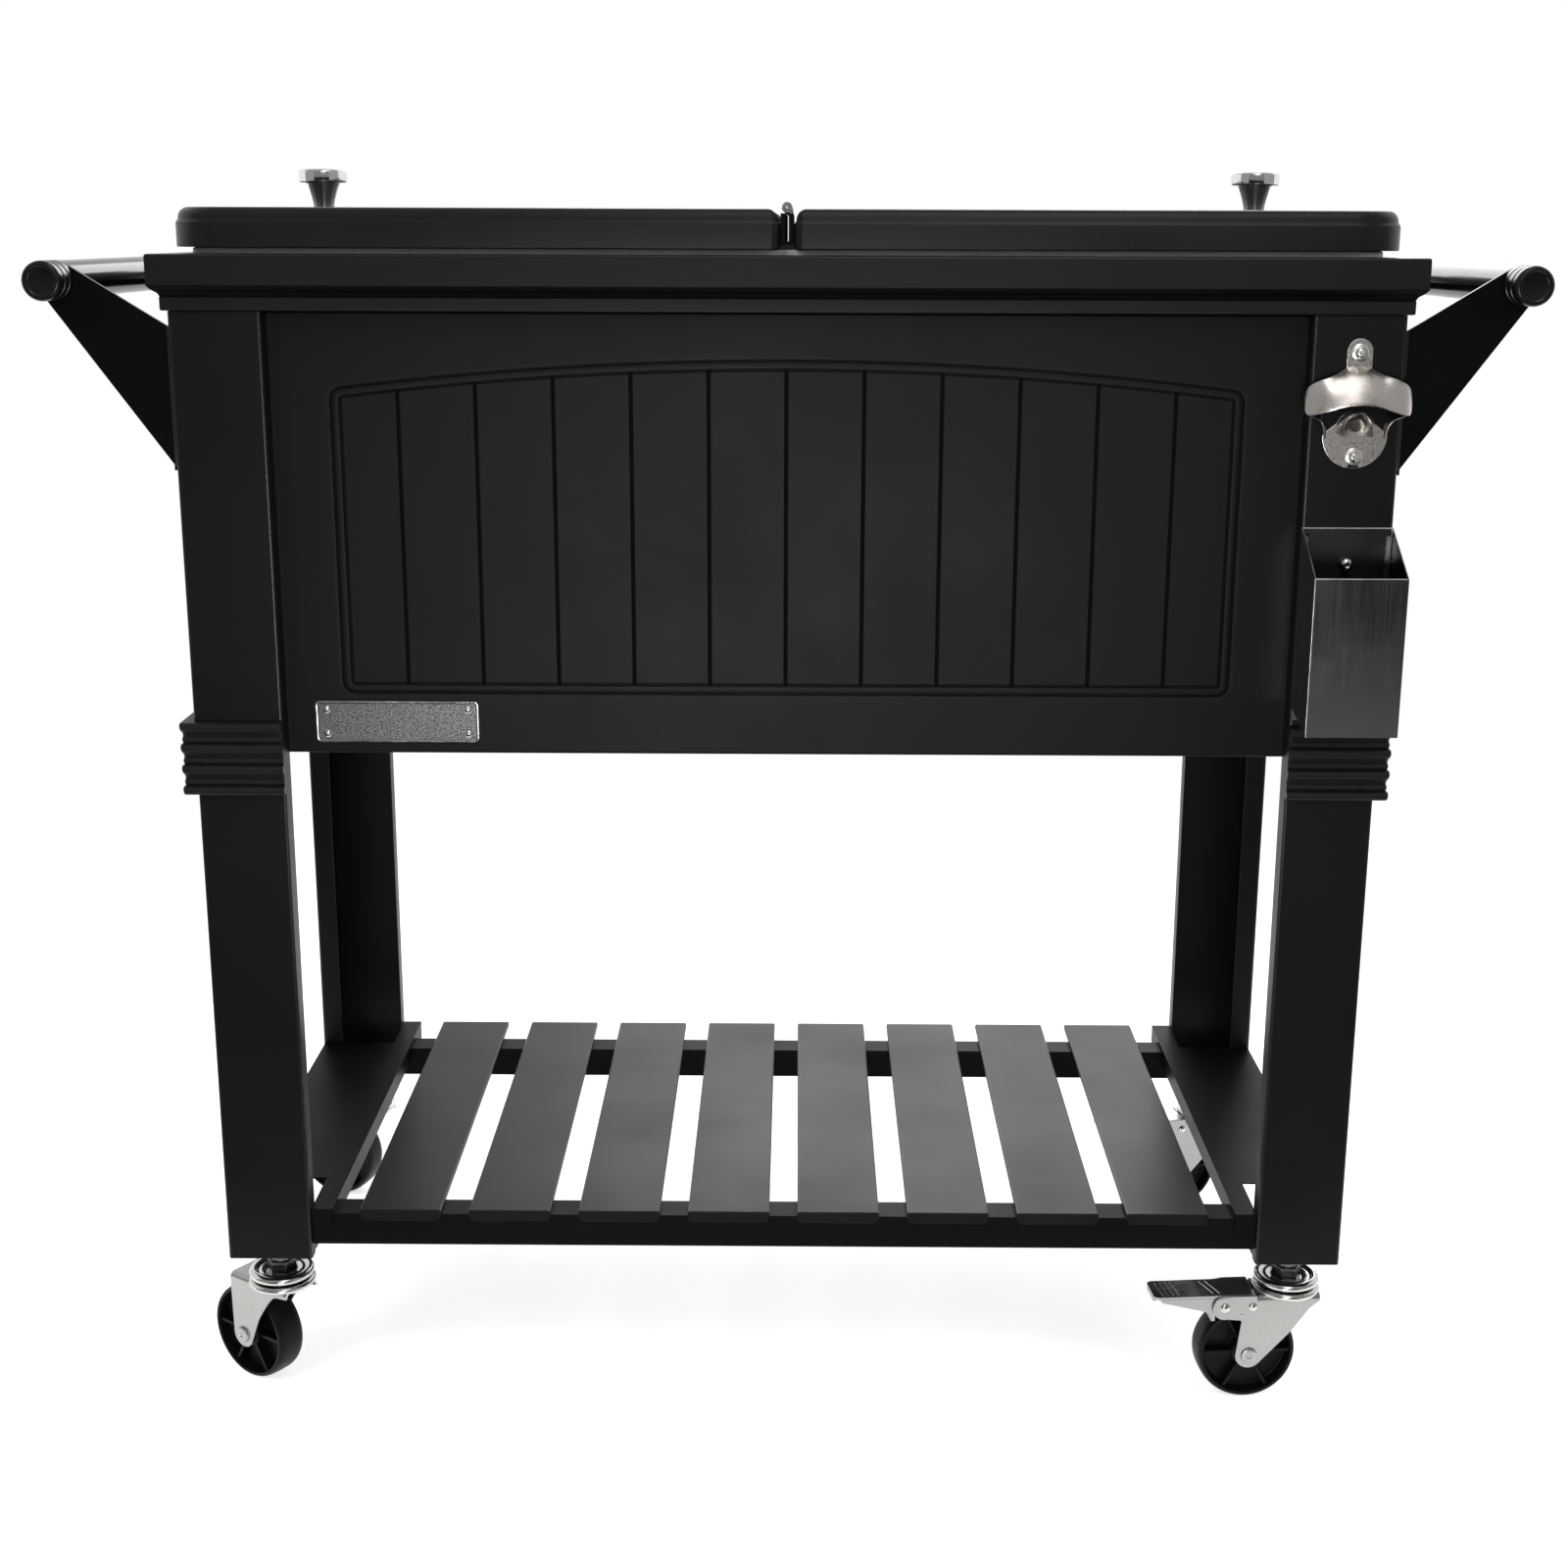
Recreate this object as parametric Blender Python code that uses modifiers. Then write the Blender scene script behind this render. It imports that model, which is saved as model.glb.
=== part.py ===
"""Rolling patio cooler: a sheet-steel ice chest on four legs with a slatted shelf and swivel casters.

Metres, +X to the right, +Y to the back, +Z up. The ground is Z = 0 and the origin lies under the middle
of the whole object. Pieces that touch are kept FIT apart.
"""

import math

import bmesh
import bpy
from mathutils import Matrix, Vector

FIT = 0.0003
OVERLAP = 0.0002
PAST = 0.002

# Legs, folded from sheet
LEG_SPAN_X = 0.820
LEG_SPAN_Y = 0.396
LEG_LENGTH = 0.6852
LEG_FACE = 0.062
LEG_SIDE = 0.057
LEG_RETURN = 0.0155
LEG_WALL = 0.0015
LEG_BEND = 0.0022
LEG_CHAMFER = 0.006
FOOT_PLATE = 0.003

# Collars round the legs
COLLAR_HEIGHT = 0.051
COLLAR_BELOW_CABINET = 0.025
COLLAR_PROUD = 0.0055
COLLAR_RIDGE = 0.0028
COLLAR_RIDGES = 4
COLLAR_CORNER = 0.004

# Cabinet panels
CABINET_HEIGHT = 0.304
PANEL_WALL = 0.0012
PANEL_FLANGE = 0.015
BASE_FLANGE = 0.012

# Arched field pressed into the front panel
FIELD_INSET = 0.1025
FIELD_BELOW = 0.0435
FIELD_ABOVE = 0.052
FIELD_ARCH_RADIUS = 2.40
FIELD_CORNER = 0.008
FIELD_DEPTH = 0.0030
FIELD_SLOPE = 0.0060
GROOVE_PITCH = 0.0525
GROOVE_WIDTH = 0.0042
GROOVE_DEPTH = 0.0014

# Crown moulding
CROWN_HEIGHT = 0.0365
CROWN_OUT = 0.010
CROWN_LOWER_OUT = 0.0035
CROWN_LOWER_FASCIA = 0.0092
CROWN_COVE = 0.0064
CROWN_WALL = 0.0015
CROWN_DECK = 0.035
CROWN_LOWER_FLANGE = 0.030
CROWN_TURN_DOWN = 0.012
CROWN_EDGE = 0.0016

# Tub
TUB_ROOM_X = 0.045
TUB_ROOM_Y = 0.042
TUB_ROOM_BELOW = 0.0315
TUB_WALL = 0.0025
TUB_DRAFT = 0.004
TUB_CORNER = 0.016
TUB_FLOOR_CORNER = 0.005
TUB_LIP = 0.0037
TUB_LIP_INSET = 0.021
TUB_LIP_CORNER = 0.026

# Drain
DRAIN_INSET = 0.130
DRAIN_RADIUS = 0.011
DRAIN_BORE = 0.007
DRAIN_REACH = 0.016
DRAIN_CAP_WALL = 0.0035
DRAIN_CAP_HEIGHT = 0.016
DRAIN_CAP_FLOOR = 0.003
DRAIN_CAP_GRIPS = 8
DRAIN_CAP_GRIP_DEPTH = 0.0012

# Lids
LID_HALF_GAP = 0.0046
LID_INSET_X = 0.0113
LID_INSET_Y = 0.0101
LID_TIGHT_CORNER = 0.0006
LID_HEIGHT = 0.0257
LID_WALL = 0.0012
LID_CORNER = 0.035
LID_HINGE_CORNER = 0.006
LID_STEP_HEIGHT = 0.0150
LID_STEP = 0.0016
LID_SHOULDER = 0.007
LINER_PLUG_DEPTH = 0.009
LINER_PLUG_CLEARANCE = 0.003
LINER_EDGE = 0.002

# Crossbar and lid hinge
CROSSBAR_WIDTH = 0.024
CROSSBAR_THICKNESS = 0.003
HINGE_ABOVE_LID = 0.0008
HINGE_INSET = 0.008
HINGE_RADIUS = 0.0035
HINGE_PIN_RADIUS = 0.0015
HINGE_KNUCKLES = 10
HINGE_HALF_SLIT = 0.0011

# Lid knobs
KNOB_INSET = 0.066
KNOB_CAP_RADIUS = 0.01775
KNOB_CAP_HEIGHT = 0.0098
KNOB_NECK_HEIGHT = 0.0185
KNOB_NECK_TOP = 0.0125
KNOB_NECK_FOOT = 0.0075
KNOB_EDGE = 0.0012

# Handles
HANDLE_OUT = 0.0745
HANDLE_ABOVE_CROWN = 0.0192
HANDLE_TUBE_RADIUS = 0.0127
HANDLE_EYE_RADIUS = 0.0130
HANDLE_NECK_RADIUS = 0.006
PLUG_PROUD = 0.022
PLUG_RINGS = 3
PLUG_GROOVE_DEPTH = 0.0018
PLUG_GROOVE_WIDTH = 0.0022
PLUG_EDGE = 0.0012
BRACKET_WALL = 0.003
BRACKET_INSET = 0.007
BRACKET_TOP_DROP = 0.0115
BRACKET_HEIGHT = 0.0945
BRACKET_FLANGE = 0.020

# Bottle opener
OPENER_TOP_DROP = 0.015
OPENER_PLATE = 0.0025
OPENER_TAB_RADIUS = 0.0085
OPENER_DISC_RADIUS = 0.0215
OPENER_HEIGHT = 0.0855
OPENER_HALF_WIDTH = 0.035
OPENER_REACH = 0.018
OPENER_HOOD_WALL = 0.0022
OPENER_CREST_DROP = 0.0165
OPENER_CREST_FALL = 0.0165
OPENER_BROW_DROP = 0.0425
OPENER_BROW_FALL = 0.0075
OPENER_WAIST_DROP = 0.034
OPENER_SCREW_SPACING = 0.0682
OPENER_LEDGE_RADIUS = 0.0085
OPENER_LEDGE_DEPTH = 0.0035
OPENER_LEDGE_RISE = 0.0015
OPENER_SCREW_INSET = 0.001

# Cap catcher
CATCHER_WIDTH = 0.062
CATCHER_DEPTH = 0.0477
CATCHER_BACK_TOP = 0.140
CATCHER_ABOVE_COLLAR = 0.003
CATCHER_FRONT_DROP = 0.028
CATCHER_FLOOR_DROP = 0.012
CATCHER_WALL = 0.0010
CATCHER_LIFT = 0.012
CATCHER_SCREW_BELOW_TOP = 0.025
SCREW_RADIUS = 0.0020
SCREW_HEAD_RADIUS = 0.0048
SCREW_HEAD_HEIGHT = 0.0042
SCREW_PAST_LEG = 0.006

# Plate on the front panel
PLATE_LENGTH = 0.1146
PLATE_HEIGHT = 0.030
PLATE_THICKNESS = 0.0024
PLATE_BORDER = 0.0022
PLATE_BORDER_RISE = 0.0006
PLATE_INSET = 0.139
PLATE_ABOVE_BOTTOM = 0.008
PLATE_CORNER = 0.002

# Shelf
SHELF_RAIL = 0.0245
SHELF_ABOVE_FOOT = 0.0105
RAIL_SETBACK = 0.004
REAR_RAIL_INSET = 0.0485
END_PLATE_WIDTH = 0.078
END_PLATE_FLANGE = 0.015
SHELF_WALL = 0.0012
SLATS = 8
SLAT_END_GAP = 0.0197
SLAT_SHARE = 0.744
SLAT_RISE = 0.0040
SLAT_BACK_INSET = 0.0045
SLAT_LIP = 0.009
SLAT_LIP_CORNER = 0.004

# Casters
CASTER_INSET = 0.031
CASTER_HEIGHT = 0.1185
WHEEL_RADIUS = 0.0375
WHEEL_WIDTH = 0.025
WHEEL_RIM = 0.0050
WHEEL_WEB = 0.0040
WHEEL_SPOKES = 6
SPOKE_WALL = 0.0026
HUB_RADIUS = 0.0115
AXLE_RADIUS = 0.0040
AXLE_HEAD_RADIUS = 0.0056
AXLE_HEAD = 0.0022
CASTER_TRAIL = 0.030
FORK_WALL = 0.002
FORK_CLEARANCE = 0.0014
FORK_BELOW_PLATE = 0.0285
FORK_BRIDGE_DROP = 0.0036
FORK_EYE_RADIUS = 0.0098
FORK_DISH_DEPTH = 0.0070
BRAKE_BRIDGE_END = 0.0250
PLAIN_BRIDGE_END = 0.0375
RACE_RADIUS = 0.0245
RACE_LIFT = 0.0012
RACE_CREST = 0.0094
STEM_RADIUS = 0.006
STEM_ABOVE_PLATE = 0.016
NUT_ACROSS_FLATS = 0.019
NUT_HEIGHT = 0.0095
PEDAL_LENGTH = 0.0775
PEDAL_WALL = 0.002
PEDAL_SHOE_CLEARANCE = 0.0022
PEDAL_SHOE_OUT = 0.0075
PEDAL_PIVOT_OUT = 0.0200
PEDAL_PIVOT_UP = 0.0393
PEDAL_PIN_RADIUS = 0.0020
PEDAL_LOBE_RADIUS = 0.0085
PEDAL_BEHIND_BRIDGE = 0.0010
PEDAL_CHEEK_DEPTH = 0.008
PEDAL_CHEEK_REACH = 0.018
PEDAL_NOSE_DEPTH = 0.0045
PEDAL_CORNER = 0.004

CASTER_HEADINGS = {"front_left": 145.0, "front_right": 185.0, "rear_left": 160.0, "rear_right": 195.0}
BRAKED = ("front_right", "rear_right")
SIDES = {"left": -1, "right": 1}
ENDS = {"front": -1, "rear": 1}

# Levels and faces that follow from the sizes above
FOOT_Z = CASTER_HEIGHT
CROWN_Z = FOOT_Z + LEG_LENGTH + FIT
CABINET_Z = CROWN_Z - CABINET_HEIGHT
DECK_Z = CROWN_Z + CROWN_HEIGHT
LIP_Z = DECK_Z + FIT + TUB_LIP
LID_Z = LIP_Z + FIT
LID_TOP_Z = LID_Z + LID_HEIGHT
HALF_X = LEG_SPAN_X / 2
HALF_Y = LEG_SPAN_Y / 2
PANEL_RECESS = LEG_RETURN + FIT
FRONT_SHEET_Y = HALF_Y - PANEL_RECESS
SIDE_SHEET_X = HALF_X - PANEL_RECESS - PANEL_WALL - FIT
BASE_Z = CABINET_Z + 2 * (PANEL_WALL + FIT)
FIELD_HALF_WIDTH = HALF_X - FIELD_INSET
PLATE_X = -HALF_X + PLATE_INSET
DRAIN_X = HALF_X - DRAIN_INSET
KNOB_X = HALF_X - KNOB_INSET
HINGE_LENGTH = 2 * (HALF_Y - HINGE_INSET)
COLLAR_ABOVE = COLLAR_HEIGHT - COLLAR_BELOW_CABINET
CATCHER_BACK_LOW = COLLAR_ABOVE + CATCHER_ABOVE_COLLAR + CATCHER_FLOOR_DROP
CATCHER_BACK_HEIGHT = CABINET_HEIGHT - CATCHER_BACK_TOP - CATCHER_BACK_LOW
TUB_HALF_X = HALF_X - TUB_ROOM_X
TUB_HALF_Y = HALF_Y - TUB_ROOM_Y
TUB_FLOOR_Z = BASE_Z + TUB_ROOM_BELOW
TUB_DEPTH = LIP_Z - TUB_FLOOR_Z
HINGE_Z = LID_TOP_Z + HINGE_ABOVE_LID
HANDLE_X = HALF_X + HANDLE_OUT
HANDLE_Z = CROWN_Z + HANDLE_ABOVE_CROWN
RAIL_Z = FOOT_Z + SHELF_ABOVE_FOOT
RAIL_TOP_Z = RAIL_Z + SHELF_RAIL
SLAT_TOP_Z = RAIL_TOP_Z + SLAT_RISE
RAIL_FRONT_Y = -HALF_Y + RAIL_SETBACK
REAR_RAIL_Y = HALF_Y - REAR_RAIL_INSET
SLAT_FRONT_Y = RAIL_FRONT_Y - FIT - SHELF_WALL
SLAT_LENGTH = HALF_Y - SLAT_BACK_INSET - SLAT_FRONT_Y
SLAT_PITCH = 2 * (HALF_X - END_PLATE_WIDTH - SLAT_END_GAP) / (SLATS - 1 + SLAT_SHARE)
SLAT_WIDTH = SLAT_PITCH * SLAT_SHARE
CROSSBAR_Z = LIP_Z + FIT
FORK_TOP_Z = CASTER_HEIGHT - FORK_BELOW_PLATE
ORIGIN_SHIFT = (CATCHER_DEPTH + FIT - PLUG_PROUD) / 2

PARTS = None


def clear_scene():
    for obj in list(bpy.data.objects):
        bpy.data.objects.remove(obj, do_unlink=True)


def new_collection(name):
    collection = bpy.data.collections.new(name)
    bpy.context.scene.collection.children.link(collection)
    return collection


def make_material(name, colour, roughness, metallic):
    material = bpy.data.materials.new(name)
    material.use_nodes = True
    shader = material.node_tree.nodes["Principled BSDF"]
    shader.inputs["Base Color"].default_value = (*colour, 1.0)
    shader.inputs["Roughness"].default_value = roughness
    shader.inputs["Metallic"].default_value = metallic
    return material


FINISHES = {
    "powder_coat": ((0.010, 0.010, 0.011), 0.42, 0.0),
    "moulded_black": ((0.012, 0.012, 0.012), 0.50, 0.0),
    "gloss_black": ((0.006, 0.006, 0.007), 0.16, 0.0),
    "liner_plastic": ((0.16, 0.16, 0.17), 0.45, 0.0),
    "tub_plastic": ((0.030, 0.030, 0.032), 0.45, 0.0),
    "foam": ((0.75, 0.68, 0.45), 0.90, 0.0),
    "zinc": ((0.70, 0.70, 0.68), 0.32, 1.0),
    "chrome": ((0.80, 0.80, 0.82), 0.08, 1.0),
    "nickel": ((0.62, 0.57, 0.52), 0.34, 1.0),
    "brushed_steel": ((0.52, 0.52, 0.52), 0.30, 1.0),
    "cast_plate": ((0.42, 0.42, 0.42), 0.42, 1.0),
    "wheel_plastic": ((0.016, 0.015, 0.015), 0.48, 0.0),
}


def finish(obj, name, kind):
    """Names a finished piece and gives it its own material."""
    obj.name = name
    obj.data.name = name
    obj.data.materials.clear()
    colour, roughness, metallic = FINISHES[kind]
    obj.data.materials.append(make_material(f"{name}_{kind}", colour, roughness, metallic))
    obj.data.shade_smooth()
    obj.data.set_sharp_from_angle(angle=math.radians(35))
    return obj


def add_object(mesh, name="piece"):
    obj = bpy.data.objects.new(name, mesh)
    PARTS.objects.link(obj)
    return obj


def tidy_mesh(mesh, merge=1e-6):
    """Welds loose caps and turns every face outwards."""
    work = bmesh.new()
    work.from_mesh(mesh)
    bmesh.ops.remove_doubles(work, verts=work.verts, dist=merge)
    bmesh.ops.recalc_face_normals(work, faces=work.faces)
    work.to_mesh(mesh)
    work.free()
    return mesh


def evaluated(obj):
    """Replaces an object by the plain mesh that its modifiers or its curve make."""
    graph = bpy.context.evaluated_depsgraph_get()
    mesh = bpy.data.meshes.new_from_object(obj.evaluated_get(graph))
    mesh.transform(obj.matrix_world)
    bpy.data.objects.remove(obj, do_unlink=True)
    return add_object(tidy_mesh(mesh))


def combine(target, others, operation):
    """Joins other closed meshes to the target or cuts them out of it."""
    for other in others:
        modifier = target.modifiers.new("combine", "BOOLEAN")
        modifier.operation = operation
        modifier.solver = "EXACT"
        modifier.object = other
        bpy.context.view_layer.update()
        graph = bpy.context.evaluated_depsgraph_get()
        mesh = bpy.data.meshes.new_from_object(target.evaluated_get(graph))
        target.modifiers.remove(modifier)
        target.data = mesh
        bpy.data.objects.remove(other, do_unlink=True)
    return target


def union(target, *others):
    return combine(target, others, "UNION")


def cut(target, *others):
    return combine(target, others, "DIFFERENCE")


def moved(obj, matrix):
    """Moves, turns or mirrors a mesh inside its object, and keeps it right side out."""
    obj.data.transform(matrix)
    if matrix.determinant() < 0:
        obj.data.flip_normals()
    return obj


def box(low, high):
    """A box between two corners, from the cube primitive."""
    size = [b - a for a, b in zip(low, high)]
    middle = [(a + b) / 2 for a, b in zip(low, high)]
    work = bmesh.new()
    scale = Matrix.Translation(middle) @ Matrix.Diagonal((*size, 1.0))
    bmesh.ops.create_cube(work, size=1.0, matrix=scale)
    mesh = bpy.data.meshes.new("box")
    work.to_mesh(mesh)
    work.free()
    return add_object(mesh)


def cylinder(radius, low, high, centre=(0.0, 0.0), axis="Z", sides=20):
    """A round bar along an axis; centre gives its two other coordinates in X, Y, Z order."""
    work = bmesh.new()
    place = Matrix.Translation((0, 0, (low + high) / 2))
    bmesh.ops.create_cone(
        work, cap_ends=True, segments=sides, radius1=radius, radius2=radius, depth=high - low, matrix=place
    )
    mesh = bpy.data.meshes.new("cylinder")
    work.to_mesh(mesh)
    work.free()
    obj = add_object(mesh)
    return moved(obj, Matrix.Translation(off_axis(centre, axis)) @ AXIS_TURNS[axis])


AXIS_TURNS = {
    "Z": Matrix.Identity(4),
    "Y": Matrix(((1, 0, 0, 0), (0, 0, 1, 0), (0, -1, 0, 0), (0, 0, 0, 1))),
    "X": Matrix(((0, 0, 1, 0), (1, 0, 0, 0), (0, 1, 0, 0), (0, 0, 0, 1))),
}


def off_axis(centre, axis):
    first, second = centre
    return {"Z": (first, second, 0), "Y": (first, 0, second), "X": (0, first, second)}[axis]


PLANES = {
    "XY": Matrix.Identity(4),
    "XZ": Matrix(((1, 0, 0, 0), (0, 0, -1, 0), (0, 1, 0, 0), (0, 0, 0, 1))),
    "YZ": Matrix(((0, 0, 1, 0), (1, 0, 0, 0), (0, 1, 0, 0), (0, 0, 0, 1))),
}


def one_face_caps(obj):
    """Merges the triangles that fill a flat outline into one face on each side."""
    work = bmesh.new()
    work.from_mesh(obj.data)
    limit = math.radians(0.02)
    bmesh.ops.dissolve_limit(work, angle_limit=limit, verts=work.verts, edges=work.edges)
    work.to_mesh(obj.data)
    work.free()
    return obj


def plate(outline, low, high, plane="XY"):
    """A flat outline with thickness: a filled 2D curve, extruded between two levels across its plane."""
    curve = bpy.data.curves.new("outline", "CURVE")
    curve.dimensions = "2D"
    curve.fill_mode = "BOTH"
    curve.extrude = (high - low) / 2
    spline = curve.splines.new("POLY")
    spline.points.add(len(outline) - 1)
    for point, (first, second) in zip(spline.points, outline):
        point.co = (first, second, 0, 1)
    spline.use_cyclic_u = True
    obj = bpy.data.objects.new("outline", curve)
    PARTS.objects.link(obj)
    middle = (low + high) / 2
    if plane == "XZ":
        middle = -middle
    obj.matrix_world = PLANES[plane] @ Matrix.Translation((0, 0, middle))
    bpy.context.view_layer.update()
    return one_face_caps(evaluated(obj))


def turned(profile, steps=20, axis="Z"):
    """A turned piece: its outer profile from top to bottom as (radius, height), spun by a Screw modifier."""
    mesh = bpy.data.meshes.new("profile")
    points = [(radius, 0, height) for radius, height in profile]
    mesh.from_pydata(points, [(i, i + 1) for i in range(len(points) - 1)], [])
    obj = add_object(mesh)
    screw = obj.modifiers.new("spin", "SCREW")
    screw.angle = math.tau
    screw.steps = steps
    screw.render_steps = steps
    screw.use_merge_vertices = True
    screw.merge_threshold = 1e-5
    bpy.context.view_layer.update()
    return moved(evaluated(obj), AXIS_TURNS[axis])


def loft(rings):
    """Skins closed rings of points, each the same length, and caps both ends."""
    work = bmesh.new()
    rows = [[work.verts.new(point) for point in ring] for ring in rings]
    count = len(rows[0])
    for lower, upper in zip(rows, rows[1:]):
        for i in range(count):
            j = (i + 1) % count
            work.faces.new((lower[i], lower[j], upper[j], upper[i]))
    work.faces.new(rows[0])
    work.faces.new(rows[-1])
    bmesh.ops.recalc_face_normals(work, faces=work.faces)
    mesh = bpy.data.meshes.new("loft")
    work.to_mesh(mesh)
    work.free()
    return add_object(mesh)


def looped_loft(rings):
    """Skins closed rings of points into one endless band, the last ring joined to the first."""
    work = bmesh.new()
    rows = [[work.verts.new(point) for point in ring] for ring in rings]
    count = len(rows[0])
    for lower, upper in zip(rows, rows[1:] + rows[:1]):
        for i in range(count):
            j = (i + 1) % count
            work.faces.new((lower[i], lower[j], upper[j], upper[i]))
    bmesh.ops.recalc_face_normals(work, faces=work.faces)
    mesh = bpy.data.meshes.new("band")
    work.to_mesh(mesh)
    work.free()
    return add_object(mesh)


def rounded(corners, steps=4):
    """An outline whose corners, given as (x, y, radius), are rounded with arcs of the same step count."""
    points = []
    count = len(corners)
    for i, (x, y, radius) in enumerate(corners):
        here = Vector((x, y))
        back = (Vector(corners[i - 1][:2]) - here).normalized()
        ahead = (Vector(corners[(i + 1) % count][:2]) - here).normalized()
        if radius <= 0:
            points.append((x, y))
            continue
        half = back.angle(ahead) / 2
        centre = here + (back + ahead).normalized() * (radius / math.sin(half))
        start = here + back * (radius / math.tan(half)) - centre
        end = here + ahead * (radius / math.tan(half)) - centre
        turn = start.angle_signed(end)
        for k in range(steps + 1):
            arm = start.copy()
            arm.rotate(Matrix.Rotation(-turn * k / steps, 2))
            points.append(tuple(centre + arm))
    return points


def arc(centre, radius, start, end, steps):
    """Points on an arc between two angles in degrees."""
    points = []
    for k in range(steps + 1):
        angle = math.radians(start + (end - start) * k / steps)
        points.append((centre[0] + radius * math.cos(angle), centre[1] + radius * math.sin(angle)))
    return points


def rectangle(low_x, high_x, low_y, high_y, radii, steps=4):
    """A rounded rectangle; radii run from the low X, low Y corner anticlockwise."""
    corners = ((low_x, low_y), (high_x, low_y), (high_x, high_y), (low_x, high_y))
    return rounded([(x, y, radius) for (x, y), radius in zip(corners, radii)], steps)


def lifted(outline, height):
    return [(x, y, height) for x, y in outline]


def from_corner(side, end, inward_x, inward_y):
    """World X and Y of a point measured inwards from the outer corner of a leg."""
    return side * (HALF_X - inward_x), end * (HALF_Y - inward_y)


def leg_section():
    """Plan of the folded leg, measured inwards from its outer corner."""
    inside_bend = LEG_BEND - LEG_WALL
    side_lip = PANEL_RECESS + PANEL_WALL
    return rounded(
        [
            (LEG_FACE, LEG_RETURN, 0),
            (LEG_FACE, 0, LEG_BEND),
            (0, 0, LEG_BEND),
            (0, LEG_SIDE, LEG_BEND),
            (side_lip, LEG_SIDE, 0),
            (side_lip, LEG_SIDE - LEG_WALL, 0),
            (LEG_WALL, LEG_SIDE - LEG_WALL, inside_bend),
            (LEG_WALL, LEG_WALL, inside_bend),
            (LEG_FACE - LEG_WALL, LEG_WALL, inside_bend),
            (LEG_FACE - LEG_WALL, LEG_RETURN, 0),
        ],
        steps=2,
    )


def make_leg(end_name, side_name):
    """Folded channel with a welded foot plate; the return's lower corner is clipped."""
    side, end = SIDES[side_name], ENDS[end_name]
    outline = [from_corner(side, end, a, b) for a, b in leg_section()]
    body = plate(outline, FOOT_Z, FOOT_Z + LEG_LENGTH)
    near = from_corner(side, end, LEG_WALL / 2, LEG_WALL / 2)
    far = from_corner(side, end, LEG_FACE - LEG_WALL / 2, LEG_SIDE - LEG_WALL / 2)
    low = (min(near[0], far[0]), min(near[1], far[1]), FOOT_Z)
    high = (max(near[0], far[0]), max(near[1], far[1]), FOOT_Z + FOOT_PLATE)
    body = union(body, box(low, high))
    stem_x, stem_y = from_corner(side, end, CASTER_INSET, CASTER_INSET)
    hole = cylinder(STEM_RADIUS + FIT, FOOT_Z - PAST, FOOT_Z + FOOT_PLATE + PAST, (stem_x, stem_y))
    edge_y = end * (HALF_Y - LEG_RETURN)
    clip = plate(
        [
            (edge_y - end * PAST, FOOT_Z - PAST),
            (edge_y - end * PAST, FOOT_Z + LEG_CHAMFER + PAST),
            (edge_y + end * (LEG_CHAMFER + PAST), FOOT_Z - PAST),
        ],
        min(side * (HALF_X - LEG_FACE - PAST), side * (HALF_X - LEG_FACE + 2 * LEG_WALL)),
        max(side * (HALF_X - LEG_FACE - PAST), side * (HALF_X - LEG_FACE + 2 * LEG_WALL)),
        "YZ",
    )
    body = cut(body, hole, clip)
    if (end_name, side_name) == ("front", "right"):
        bore = cylinder(
            SCREW_RADIUS + FIT, -HALF_Y - PAST, -HALF_Y + LEG_WALL + PAST, (catcher_x(), screw_z()), "Y", 16
        )
        body = cut(body, bore)
    return finish(body, f"{end_name}_{side_name}_leg", "powder_coat")


def make_collar(end_name, side_name):
    """Moulded collar over the leg's two outer faces, its outside running in and out over level ridges."""
    side, end = SIDES[side_name], ENDS[end_name]
    low_z = CABINET_Z - COLLAR_BELOW_CABINET
    levels = COLLAR_RIDGES * 2
    rings = []
    for k in range(levels + 1):
        out = COLLAR_PROUD + COLLAR_RIDGE * (k % 2)
        plan = rounded(
            [
                (LEG_FACE, -FIT, 0),
                (LEG_FACE, -out, 0),
                (-out, -out, COLLAR_CORNER),
                (-out, LEG_SIDE, 0),
                (-FIT, LEG_SIDE, 0),
                (-FIT, -FIT, LEG_BEND),
            ],
            steps=2,
        )
        height = low_z + COLLAR_HEIGHT * k / levels
        rings.append([(*from_corner(side, end, a, b), height) for a, b in plan])
    return finish(loft(rings), f"{end_name}_{side_name}_collar", "moulded_black")


def arched_field(inset):
    """Outline (X, Z) of the pressed field, drawn in by a distance, with rounded corners."""
    half = FIELD_HALF_WIDTH - inset
    low = CABINET_Z + FIELD_BELOW + inset
    apex = field_apex() - inset
    radius = FIELD_ARCH_RADIUS - inset
    spring = apex - radius + math.sqrt(radius**2 - half**2)
    corner = FIELD_CORNER
    bottom = rounded([(-half, spring, 0), (-half, low, corner), (half, low, corner), (half, spring, 0)], 3)
    shoulder = half - corner * 0.8
    reach = math.degrees(math.asin(shoulder / radius))
    arch = arc((0, apex - radius), radius, 90 - reach, 90 + reach, 14)
    right = (half, spring - corner)
    left = (-half, spring - corner)
    knee = half - corner * 0.2
    high = spring - corner * 0.25
    return bottom[1:-1] + [right, (knee, high)] + arch + [(-knee, high), left]


def field_apex():
    """Top of the arch: the springing lies FIELD_ABOVE under the crown."""
    rise = FIELD_ARCH_RADIUS - math.sqrt(FIELD_ARCH_RADIUS**2 - FIELD_HALF_WIDTH**2)
    return CROWN_Z - FIELD_ABOVE + rise


def field_prism(front_inset, front_y, back_inset, back_y):
    front = [(x, front_y, z) for x, z in arched_field(front_inset)]
    back = [(x, back_y, z) for x, z in arched_field(back_inset)]
    return loft([front, back])


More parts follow.
